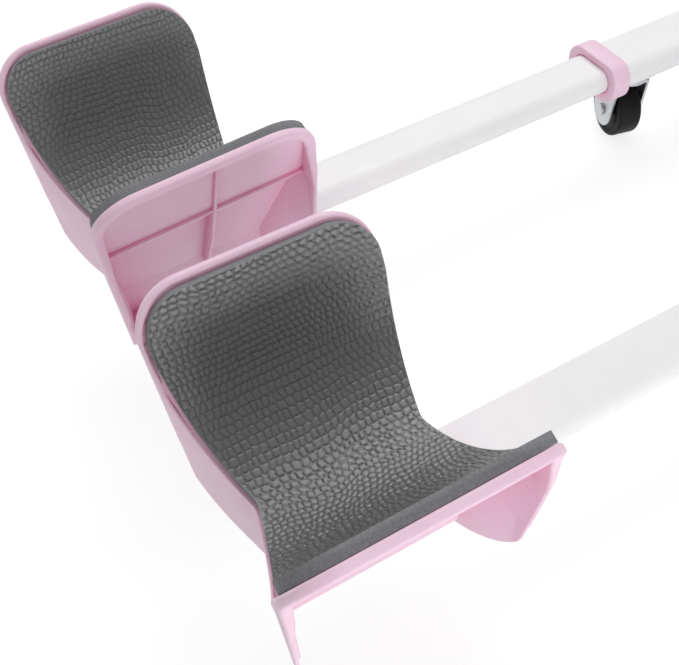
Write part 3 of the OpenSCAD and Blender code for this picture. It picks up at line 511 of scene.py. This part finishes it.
def makeEndPlate(rear):
    r = cradle["troughR"] + cradle["thick"] + shell["underPad"]
    x, z = wallPoint(shell["plateTop"], cradle["thick"] + 4)
    points = [(x, z)]
    for t in np.linspace(troughAngle, -troughAngle, 61):
        points.append((r * math.sin(t), cradle["troughZ"] - r * math.cos(t)))
    points.append((-x, z))
    heights = np.linspace(shell["plateTop"], shell["plateFoot"], 12)
    inset = [shell["cornerInset"] + ramp(w, *shell["sideRise"]) for w in heights]
    side = [wallPoint(w, rimOuter(w) - back) for w, back in zip(heights, inset)] + lowCorners()
    points += [(-a, b) for a, b in side]
    if rear:
        points += tubeNotch()
    points += side[::-1]
    plate = solidFromOutline(points, shell["plate"])
    roundEdges(plate, shell["edgeRound"], 3)
    bpy.ops.object.mode_set(mode="EDIT")
    crease = (cradle["half"] - cradle["waist"]) / cradle["waistSlope"]
    for at in (-crease, 0, crease):
        bpy.ops.mesh.select_all(action="SELECT")
        bpy.ops.mesh.bisect(plane_co=(at * mm, 0, 0), plane_no=(1, 0, 0))
    bpy.ops.object.mode_set(mode="OBJECT")
    for vertex in plate.data.vertices:
        x, z = vertex.co.x / mm, vertex.co.z / mm
        inset = shell["plateInset"] + shell["topInset"] * ramp(z, *shell["topRise"])
        y = endOffset(x, z, rear) - inset + vertex.co.y / mm
        vertex.co.y = (y if rear else -y) * mm
    return plate


def rimPath(top):  # (v, w, inwards) round a rim's outer edge: up the rear leg, over the top, down the front
    r = shell["rimCorner"]
    path = []
    for rear in (True, False):
        end = 1 if rear else -1
        half = cradle["half"] + beyondPad(rear)
        leg = [(end * half, w, -end, 0) for w in np.linspace(shell["rimFoot"], top - r, 26)[:-1]]
        for t in np.linspace(0, math.pi / 2, 20):
            v, w = end * (half - r + r * math.cos(t)), top - r + r * math.sin(t)
            leg.append((v, w, -end * math.cos(t), -math.sin(t)))
        leg += [(v, top, 0, -1) for v in np.linspace(end * (half - r), 0, 8)[1:]]
        path += leg if rear else leg[-2::-1]
    return path


def rimRow(v, w, inV, inW, side):  # the rounded section of a rim at one point of its path
    thin = shell["legWidth"] if v < 0 else shell["plate"]
    width = shell["rimWidth"] + (1 - ramp(w, *shell["legRise"])) * (thin - shell["rimWidth"])
    depth = rimOuter(w) - shell["rimBack"]
    r = shell["rimRound"]
    widthRound = min(r, width / 2 - 0.01)
    row = []
    for cx, cy, first in ((1, 1, 0), (0, 1, 90), (0, 0, 180), (1, 0, 270)):
        for turn in np.linspace(first, first + 90, 5):
            rx, ry = math.cos(math.radians(turn)), math.sin(math.radians(turn))
            inwards = width - (widthRound + cx * (width - 2 * widthRound) + widthRound * rx)
            away = shell["rimBack"] + r + cy * (depth - 2 * r) + r * ry
            x, z = wallPoint(w + inW * inwards, away)
            if inW == 0:
                y = math.copysign(endOffset(x, z, v > 0) - inwards, v)
            else:
                y = (v + inV * inwards) * (1 + leanAt(z) / cradle["half"])
            row.append((side * x, y, z))
    return row


def makeRim(side, top):  # the rounded bead round the top of one wall, with its legs down the end plates
    rows = [rimRow(v, w, inV, inW, side) for v, w, inV, inW in rimPath(top)]
    count = len(rows[0])
    last = (len(rows) - 1) * count
    faces = []
    for start in range(0, last, count):
        for j in range(count):
            k = (j + 1) % count
            faces.append((start + j, start + k, start + count + k, start + count + j))
    faces += [tuple(range(count)), tuple(range(last, last + count))]
    rim = newPiece("rim", [point for row in rows for point in row], [], faces)
    faceOutwards()
    return rim


def makeTroughWall(tops):
    bpy.ops.mesh.primitive_grid_add(x_subdivisions=150, y_subdivisions=24, size=2)
    wall = bpy.context.object
    for vertex in wall.data.vertices:
        s = vertex.co.x * (troughArc - 5 + tops[1 if vertex.co.x > 0 else -1])
        half = padHalfLength(s) + beyondPad(vertex.co.y > 0) - shell["plate"] + 0.6
        x, z = troughPoint(s, cradle["thick"] + 0.3)
        vertex.co = (x * mm, vertex.co.y * half * mm, z * mm)
    selectOnly(wall)
    thicken = wall.modifiers.new("thickness", "SOLIDIFY")
    thicken.thickness = shell["wall"] * mm
    thicken.offset = -1
    bpy.ops.object.modifier_apply(modifier="thickness")
    return wall


def makeSidePanel(side):  # the wall of the housing, from the round of the trough down past the arm tube
    foot = bay["half"] + side * cradle["inset"]
    x, z = backPoint(bay["angle"], bay["back"])
    points = [(x, z), (foot, shell["armTop"]), (foot, bay["low"]), (foot - bay["thick"], bay["low"]),
              (foot - bay["thick"], shell["armTop"] + 1), (x - 3, z + 2)]
    panel = solidFromOutline(points, bay["length"])
    roundEdges(panel, bay["round"], 2, 20)
    for vertex in panel.data.vertices:
        x, y, z = vertex.co / mm
        rear = y > -bay["length"] / 2
        reach = endOffset(x, z, rear) - shell["endGap"]
        vertex.co = (side * x * mm, (reach if rear else -reach) * mm, z * mm)
    return panel


def makeUprightRib(side):
    foot = bay["half"] + side * cradle["inset"]
    points = [wallPoint(w, ribs["back"]) for w in (ribs["top"], 0)]
    points += [backPoint(angle, ribs["back"]) for angle in np.linspace(cradle["angle"], bay["angle"], 10)]
    points += [(foot - 1.5, z) for z in (shell["armTop"], shell["armMiddle"])]
    points.append((foot + 2.4, shell["armMiddle"]))
    points += [wallPoint(w, ribs["out"]) for w in (ribs["foot"], 0, ribs["top"])]
    rib = solidFromOutline(points, ribs["thick"])
    for vertex in rib.data.vertices:
        vertex.co.y += (ribs["shift"] + ribs["thick"] / 2) * mm
        vertex.co.x *= side
    roundEdges(rib, ribs["round"], 3, 50)
    return rib


def makeLongRib(side):
    bpy.ops.mesh.primitive_cube_add(size=2)
    rib = bpy.context.object
    for vertex in rib.data.vertices:
        outer, rear, upper = (value > 0 for value in vertex.co)
        up = cradle["wall"] - ribs["down"] + (0.5 if upper else -0.5) * ribs["thick"]
        x, z = wallPoint(up, ribs["out"] if outer else ribs["longBack"])
        y = endOffset(x, z, rear) - shell["endGap"]
        vertex.co = Vector((side * x, y if rear else -y, z)) * mm
    roundEdges(rib, ribs["round"], 3, 50)
    return rib


def makeLowLip(side):  # the short ledge at the foot of the front plate
    points = [(lip["inner"], lip["high"]), (lip["outer"], lip["high"]), (lip["outer"], lip["low"]),
              (lip["inner"], lip["low"])]
    ledge = solidFromOutline(points, lip["depth"])
    for vertex in ledge.data.vertices:
        x, y, z = vertex.co / mm
        vertex.co = Vector((side * x, y + lip["depth"] + lip["behind"] - endOffset(x, z, False), z)) * mm
    roundEdges(ledge, lip["round"], 2, 50)
    return ledge


def makeBoss(x, y):  # a boss under the trough for a screw of the bracket
    place = Vector((cradle["inset"] + x * boss["x"], y * boss["y"], boss["low"] + boss["height"] / 2)) * mm
    bpy.ops.mesh.primitive_cylinder_add(vertices=32, radius=boss["r"] * mm, depth=boss["height"] * mm,
                                        location=place)
    post = bpy.context.object
    bpy.ops.object.transform_apply(location=True, rotation=True, scale=True)
    roundEdges(post, boss["round"], 2, 50)
    return post


def makeCradleShell(sideName, sign):  # the walls on the far side stand a little higher past the pad
    tops = {side: cradle["wall"] + shell["rimBeyond" if side == sign else "rimFar"] for side in (-1, 1)}
    parts = [makeEndPlate(False), makeEndPlate(True), makeTroughWall(tops)]
    for side in (-1, 1):
        parts += [makeRim(side, tops[side]), makeSidePanel(side), makeUprightRib(side), makeLongRib(side)]
    if sign < 0:
        parts.append(makeLowLip(-1))
    parts += [makeBoss(x, y) for x in (-1, 1) for y in (-1, 1)]
    body = joinPieces(parts)
    body.name = pieceName("cradle_shell_" + sideName)
    turn = math.radians(cradle["turn"][sign])
    for vertex in body.data.vertices:
        x, y = sign * (vertex.co.x - cradle["inset"] * mm), vertex.co.y
        if y > 0:
            y *= rearStretch(sign * vertex.co.x / mm, sign)
        vertex.co.x = x * math.cos(turn) - y * math.sin(turn) + sign * cradle["armX"] * mm
        vertex.co.y = x * math.sin(turn) + y * math.cos(turn) - cradle["reach"] * mm
    faceOutwards()
    bpy.ops.object.shade_smooth_by_angle(angle=math.radians(40))
    setMaterial(body, pinkAbs)
    standFor(body, "cradle_shell_" + sideName)


for sideName, sign in sides.items():
    makeCradleShell(sideName, sign)
print("cradle shells made")

# pieces that keep the form of their solid, with the edges of the real part: width and segments of each edge
pairEdges = {"guide_collar": (1.7, 4), "caster_plate": (0.5, 2), "caster_fork": (0.7, 3),
             "caster_axle": (1.4, 4), "clamp_knob": (1.6, 4), "cradle_bracket": (0.8, 3)}
baseEdges = {"lower_plate": (0.8, 2), "upper_plate": (0.8, 2), "end_caps": (1.6, 3), "gear_cover": (0.5, 2),
             "seat_shell": (1.6, 3), "back_shell": (1.6, 3), "seat_frame": (0.8, 2), "foot_pads": (2.0, 3),
             "plate_nuts": (0.5, 2), "column_bush": (1.0, 3)}
caster = {"trail": 8, "turn": 13.5, "reach": 406.3, "tyreR": 30, "hubR": 18.05, "half": 12.25,
          "shoulder": 2.5, "crownRise": (42, 22), "crownNarrow": 0.26}


def roundedCopy(nodeName, width, segments):
    piece = bpy.data.objects.new(pieceName(nodeName), frame["nodes"][nodeName].data.copy())
    scene.collection.objects.link(piece)
    selectOnly(piece)
    bpy.ops.object.mode_set(mode="EDIT")
    bpy.ops.mesh.select_all(action="SELECT")
    bpy.ops.mesh.remove_doubles(threshold=0.00001)
    bpy.ops.mesh.dissolve_limited(angle_limit=math.radians(0.6))
    bpy.ops.object.mode_set(mode="OBJECT")
    roundEdges(piece, width, segments, 35, True)
    bpy.ops.object.shade_smooth_by_angle(angle=math.radians(38))
    setMaterial(piece, slotMaterial[nodeSlot[nodeName]])
    standFor(piece, nodeName)
    return piece


def narrowCrown(fork, sign):  # legs that narrow a little towards the crown
    turn = math.radians(caster["turn"])
    way = Vector((sign * math.cos(turn), math.sin(turn), 0))
    middle = Vector((sign * cradle["armX"], -caster["reach"], 0)) * mm
    for vertex in fork.data.vertices:
        share = ramp(vertex.co.z / mm, *caster["crownRise"])
        vertex.co -= way * (vertex.co - middle).dot(way) * caster["crownNarrow"] * share


for nodeName, (width, segments) in baseEdges.items():
    roundedCopy(nodeName, width, segments)
for nodeName, (width, segments) in pairEdges.items():
    for sideName, sign in sides.items():
        piece = roundedCopy(nodeName + "_" + sideName, width, segments)
        if nodeName == "caster_fork":
            narrowCrown(piece, sign)
print("edges rounded")


def turned(name, profile, place, axis, steps):  # a piece turned from its profile of (radius, height), in mm
    count = len(profile)
    ring = [(i, (i + 1) % count) for i in range(count)]
    piece = newPiece(name, [(r, 0, h) for r, h in profile], ring, [])
    bpy.ops.object.mode_set(mode="EDIT")
    bpy.ops.mesh.select_all(action="SELECT")
    bpy.ops.mesh.spin(steps=steps, angle=2 * math.pi, center=(0, 0, 0), axis=(0, 0, 1))
    bpy.ops.mesh.select_all(action="SELECT")
    bpy.ops.mesh.remove_doubles(threshold=0.00001)
    bpy.ops.object.mode_set(mode="OBJECT")
    faceOutwards()
    facing = Vector(axis).to_track_quat("Z", "Y").to_matrix().to_4x4()
    piece.data.transform(Matrix.Translation(place) @ facing)
    bpy.ops.object.shade_smooth_by_angle(angle=math.radians(40))
    return piece


# caster wheels
def makeWheelPart(nodeName, upper, material, place, axis, steps):  # upper is the upper half of its profile
    piece = turned(pieceName(nodeName), upper + [(r, -h) for r, h in upper[::-1]], place, axis, steps)
    setMaterial(piece, material)
    standFor(piece, nodeName)


def makeWheel(sideName, sign):
    turn = math.radians(caster["turn"])
    x = cradle["armX"] + caster["trail"] * math.cos(turn)
    y = -caster["reach"] + caster["trail"] * math.sin(turn)
    place = Vector((sign * x, y, caster["tyreR"])) * mm
    axis = (-sign * math.sin(turn), math.cos(turn), 0)
    r, half, outer = caster["shoulder"], caster["half"], caster["tyreR"]
    tyre = [(caster["hubR"], half), (21.6, half), (22.1, half - 0.7), (23.4, half - 0.7), (23.9, half - 0.1)]
    for t in np.linspace(0, math.pi / 2, 7):
        tyre.append((outer - r + r * math.sin(t), half - r + r * math.cos(t)))
    tyre.append((outer, 3))
    hub = [(4.1, 14.7), (7.4, 14.7), (8.0, 14.1), (8.4, 10.2), (9.4, 9.0), (14.9, 9.0), (15.9, 9.6),
           (16.4, 11.0), (17.0, 11.25), (18.0, 11.25)]
    makeWheelPart("caster_tyre_" + sideName, tyre, tyreRubber, place, axis, 96)
    makeWheelPart("caster_hub_" + sideName, hub, nylonBlack, place, axis, 72)


for sideName, sign in sides.items():
    makeWheel(sideName, sign)
print("casters made")

# foam grips
grips = {"railX": 235, "railY": 350, "bottom": 300, "length": 114, "r": 16.4, "bore": 12.6, "rings": 12,
         "firstRing": 14, "plainLength": 34, "wheelY": -67.866, "wheelZ": 575, "wheelR": 150, "ringR": 12.6,
         "swell": 0.5, "waves": 36}


def makeHandGrips():
    length, r, bore = grips["length"], grips["r"], grips["bore"]
    profile = [(bore, 0), (r - 2, 0)]
    profile += [(r - 2 + 2 * math.sin(t), 2 - 2 * math.cos(t)) for t in np.linspace(0.3, math.pi / 2, 5)]
    pitch = (length - grips["plainLength"]) / grips["rings"]
    for k in range(grips["rings"]):
        low = grips["firstRing"] + k * pitch
        profile += [(r, low), (r - 0.3, low + 0.5), (r - 0.9, low + 0.9)]
        profile += [(r - 0.9, low + 1.6), (r - 0.3, low + 2.0), (r, low + 2.5)]
    for t in np.linspace(0, math.pi / 2, 9):
        profile.append((r - 5 + 5 * math.cos(t), length - 5 + 5 * math.sin(t)))
    profile += [(3, length), (3, length - 1.5), (2, length - 2), (0, length - 2), (0, length - 3.5),
                (bore, length - 3.5)]
    both = []
    for sign in sides.values():
        place = Vector((sign * grips["railX"], grips["railY"], grips["bottom"])) * mm
        both.append(turned("handGrip", profile, place, (0, 0, 1), 64))
    pair = joinPieces(both)
    setMaterial(pair, gripRubber)
    standFor(pair, "hand_grips")


def makeWheelGrip():  # the sleeve of the handwheel, with low swells round it for the fingers
    bpy.ops.mesh.primitive_torus_add(major_segments=288, minor_segments=28, major_radius=grips["wheelR"] * mm,
                                     minor_radius=grips["ringR"] * mm)
    ring = bpy.context.object
    ring.name = "wheelGripFoam"
    for vertex in ring.data.vertices:
        x, y, z = vertex.co / mm
        around = math.atan2(y, x)
        out = math.hypot(x, y) - grips["wheelR"]
        swell = 1 + grips["swell"] / grips["ringR"] * math.cos(grips["waves"] * around)
        reach = grips["wheelR"] + out * swell
        vertex.co = (reach * math.cos(around) * mm, reach * math.sin(around) * mm, z * swell * mm)
    ring.data.transform(Matrix.Translation(Vector((0, grips["wheelY"], grips["wheelZ"])) * mm))
    selectOnly(ring)
    bpy.ops.object.shade_smooth()
    setMaterial(ring, gripRubber)
    standFor(ring, "wheel_grip")


makeHandGrips()
makeWheelGrip()
print("grips made")

# seat and back cushions
cushions = {"seat": {"name": "seatCushion", "node": "seat_pad", "w": 371, "d": 341, "place": (0, 265, 244)},
            "back": {"name": "backCushion", "node": "back_pad", "w": 351, "d": 371, "place": (0, 482, 68),
                     "lean": 10, "up": (0, -15, 452)}}
padding = {"low": 4, "top": 50, "smaller": 7, "corner": 36, "edge": 9, "voxel": 6, "pressure": 4,
           "frames": 20, "held": 5, "cap": 7, "capUp": 9, "channel": 3.4, "channelWide": 3.2, "topFrom": 24,
           "panHeight": 15, "welt": 2.6, "weltHeight": 17}


def vinylMaterial():  # grey upholstery vinyl over foam: a fine pressed pebble and a soft sheen, with paler pebble tops and painted shade darkening the grooves between them
    material, tree, shader, coords = startMaterial("upholsteryVinylGrey", {"Roughness": 0.46, "IOR": 1.5})
    cells = addNode(tree, "TexVoronoi", {"Scale": 1 / (1.5 * mm), "feature": "DISTANCE_TO_EDGE"},
                    {"Vector": coords})
    ridge = addNode(tree, "MapRange", {"From Min": 0.0, "From Max": 0.18},
                    {"Value": cells.outputs["Distance"]})
    patch = addNode(tree, "TexNoise", {"Scale": 1 / (45 * mm), "Detail": 3.0}, {"Vector": coords})
    tone = addNode(tree, "Mix", {"data_type": "RGBA", 6: linearColour("#6C6D6E"), 7: linearColour("#777879")},
                   {0: patch.outputs["Fac"]})
    # painted shade: the cell edges, sunk by the bump, are painted a darker grey #565758
    mix = addNode(tree, "Mix", {"data_type": "RGBA", 6: linearColour("#565758")},
                  {0: ridge.outputs["Result"], 7: tone.outputs[2]})
    tree.links.new(mix.outputs[2], shader.inputs["Base Color"])
    bump = addNode(tree, "Bump", {"Strength": 0.8, "Distance": 0.12 * mm},
                   {"Height": ridge.outputs["Result"]})
    tree.links.new(bump.outputs["Normal"], shader.inputs["Normal"])
    return material


seatVinyl = vinylMaterial()


def cushionBlock(cushion, w, d):  # the foam block: upright edges and rims rounded, then meshed evenly
    low, high = padding["low"], padding["top"] - padding["smaller"]
    bpy.ops.mesh.primitive_cube_add(size=1, location=(0, 0, (low + high) / 2 * mm))
    piece = bpy.context.object
    piece.name = cushion["name"]
    piece.scale = (w * mm, d * mm, (high - low) * mm)
    bpy.ops.object.transform_apply(location=True, rotation=True, scale=True)
    bpy.ops.object.mode_set(mode="EDIT")
    bpy.ops.mesh.select_mode(type="EDGE")
    bpy.ops.mesh.select_all(action="DESELECT")
    bpy.ops.object.mode_set(mode="OBJECT")
    for edge in piece.data.edges:
        a, b = (piece.data.vertices[i].co for i in edge.vertices)
        edge.select = abs(a.z - b.z) > 10 * mm
    bpy.ops.object.mode_set(mode="EDIT")
    bpy.ops.mesh.bevel(offset=padding["corner"] * mm, segments=10, affect="EDGES")
    bpy.ops.object.mode_set(mode="OBJECT")
    roundEdges(piece, padding["edge"], 4, 50)
    remesh = piece.modifiers.new("even", "REMESH")
    remesh.mode = "VOXEL"
    remesh.voxel_size = padding["voxel"] * mm
    bpy.ops.object.modifier_apply(modifier="even")
    return piece


def swollen(piece):  # blows the cover up over its foam and keeps each point near its start
    before = readPoints(piece)
    held = piece.vertex_groups.new(name="held")
    low = before[:, 2].min()
    held.add([i for i in range(len(before)) if before[i, 2] < low + padding["held"] * mm], 1.0, "REPLACE")
    cloth = piece.modifiers.new("cover", "CLOTH")
    cloth.settings.vertex_group_mass = "held"
    cloth.settings.use_pressure = True
    cloth.settings.uniform_pressure_force = padding["pressure"]
    cloth.settings.effector_weights.gravity = 0
    cloth.point_cache.frame_start = 1
    cloth.point_cache.frame_end = padding["frames"]
    for step in range(1, padding["frames"] + 1):
        scene.frame_set(step)
    after = readPoints(piece.evaluated_get(bpy.context.evaluated_depsgraph_get()))
    piece.modifiers.remove(cloth)
    scene.frame_set(1)
    limit = np.array((padding["cap"], padding["cap"], padding["capUp"])) * mm
    return before + np.clip(after - before, -limit, limit)


def sewChannels(piece, cushion, w):  # two sewn channels across the top, and the sides kept inside the pan
    for vertex in piece.data.vertices:
        x, y, z = vertex.co / mm
        if z > padding["topFrom"]:
            fall = sum(math.exp(-((x - at * w / 6) / padding["channelWide"]) ** 2) for at in (-1, 1))
            z -= padding["channel"] * fall
        if z < padding["panHeight"]:
            x = math.copysign(min(abs(x), cushion["w"] / 2 - 1), x)
            y = math.copysign(min(abs(y), cushion["d"] / 2 - 1), y)
        vertex.co = Vector((x, y, max(z, padding["low"]))) * mm


def makeWelt(cushion):  # the piped seam round the cushion's side
    w, d, r = cushion["w"] / 2 - 1.5, cushion["d"] / 2 - 1.5, padding["corner"] + 3
    path = []
    for sx, sy, first in ((1, 1, 0), (-1, 1, 90), (-1, -1, 180), (1, -1, 270)):
        for turn in np.radians(np.linspace(first, first + 90, 14)):
            path.append((sx * (w - r) + r * math.cos(turn), sy * (d - r) + r * math.sin(turn)))
    data = bpy.data.curves.new("welt", "CURVE")
    data.dimensions = "3D"
    data.bevel_depth = padding["welt"] * mm
    data.bevel_resolution = 3
    line = data.splines.new("POLY")
    line.points.add(len(path) - 1)
    for point, (x, y) in zip(line.points, path):
        point.co = (x * mm, y * mm, padding["weltHeight"] * mm, 1)
    line.use_cyclic_u = True
    welt = bpy.data.objects.new("welt", data)
    scene.collection.objects.link(welt)
    selectOnly(welt)
    bpy.ops.object.convert(target="MESH")
    bpy.ops.object.shade_smooth()
    return bpy.context.object


def makeCushion(cushion):
    w, d = cushion["w"] - 2 * padding["smaller"], cushion["d"] - 2 * padding["smaller"]
    piece = cushionBlock(cushion, w, d)
    co = swollen(piece)
    piece.data.vertices.foreach_set("co", co.ravel())
    piece.data.update()
    smooth = piece.modifiers.new("smooth", "SUBSURF")
    smooth.levels = 1
    smooth.render_levels = 1
    selectOnly(piece)
    bpy.ops.object.modifier_apply(modifier="smooth")
    sewChannels(piece, cushion, w)
    bpy.ops.object.shade_smooth()
    piece = joinPieces([piece, makeWelt(cushion)])
    place = Matrix.Translation(Vector(cushion["place"]) * mm)
    if "lean" in cushion:  # the back cushion stands up and leans against its pan
        away = Matrix.Rotation(math.radians(-cushion["lean"]), 4, "X")
        up = Matrix.Translation(Vector(cushion["up"]) * mm)
        place = place @ away @ up @ Matrix.Rotation(math.radians(90), 4, "X")
    piece.data.transform(place)
    setMaterial(piece, seatVinyl)
    standFor(piece, cushion["node"])


for cushion in cushions.values():
    makeCushion(cushion)
print("cushions made")

# floor and light
studio = {"floor": "#F4F4F4", "floorSize": 160, "worldLight": 0.475, "floorShadow": 0.3, "floorGlow": 0.8}
lamps = {"leftSoftbox": {"place": (-1.9, 0.25, 3.0), "target": (0, -0.85, 0.15), "size": (2.4, 2.4),
                         "power": 78.0},
         "lowSideSoftbox": {"place": (2.4, -0.8, 0.36), "target": (0, -0.7, 0.1), "size": (1.2, 0.5),
                            "power": 25.0}}


def directSight(tree, path):  # 1 for a ray from the camera, also through something clear
    return addNode(tree, "Math", {"operation": "MAXIMUM"},
                   {0: path.outputs["Is Camera Ray"], 1: path.outputs["Is Transmission Ray"]})


def makeFloor():
    bpy.ops.mesh.primitive_plane_add(size=studio["floorSize"], location=(0, -0.4, -0.0005))
    floor = bpy.context.object
    floor.name = "studioFloor"
    material, tree, shader, _ = startMaterial("paleStudioFloor", {"Roughness": 0.9})
    shader.inputs["Base Color"].default_value = linearColour(studio["floor"])
    output = [n for n in tree.nodes if n.type == "OUTPUT_MATERIAL"][0]
    path = addNode(tree, "LightPath")
    strength = studio["floorGlow"] / (1 - studio["floorShadow"])
    glow = addNode(tree, "Emission", {"Color": (1, 1, 1, 1), "Strength": strength})
    seen = addNode(tree, "MixShader", {0: studio["floorShadow"]},
                   {1: glow.outputs["Emission"], 2: shader.outputs["BSDF"]})
    mirrored = addNode(tree, "Math", {"operation": "MAXIMUM"},
                       {0: directSight(tree, path).outputs[0], 1: path.outputs["Is Glossy Ray"]})
    mix = addNode(tree, "MixShader", {},
                  {0: mirrored.outputs[0], 1: shader.outputs["BSDF"], 2: seen.outputs["Shader"]})
    tree.links.new(mix.outputs["Shader"], output.inputs["Surface"])
    setMaterial(floor, material)


def makeWorld():
    world = bpy.data.worlds.new("paleStudio")
    scene.world = world
    world.use_nodes = True
    tree = world.node_tree
    tree.nodes.clear()
    seen = directSight(tree, addNode(tree, "LightPath"))
    strength = addNode(tree, "MapRange", {"To Min": studio["worldLight"], "To Max": 1.0},
                       {"Value": seen.outputs[0]})
    back = addNode(tree, "Background", {"Color": (1, 1, 1, 1)}, {"Strength": strength.outputs["Result"]})
    addNode(tree, "OutputWorld", {}, {"Surface": back.outputs["Background"]})


def addLamp(name, setting):
    data = bpy.data.lights.new(name, "AREA")
    data.shape = "RECTANGLE"
    data.size, data.size_y = setting["size"]
    data.energy = setting["power"]
    lamp = bpy.data.objects.new(name, data)
    scene.collection.objects.link(lamp)
    lamp.location = setting["place"]
    way = Vector(setting["target"]) - Vector(setting["place"])
    lamp.rotation_euler = way.to_track_quat("-Z", "Y").to_euler()


makeFloor()
makeWorld()
for lampName, setting in lamps.items():
    addLamp(lampName, setting)
print("floor and light made")
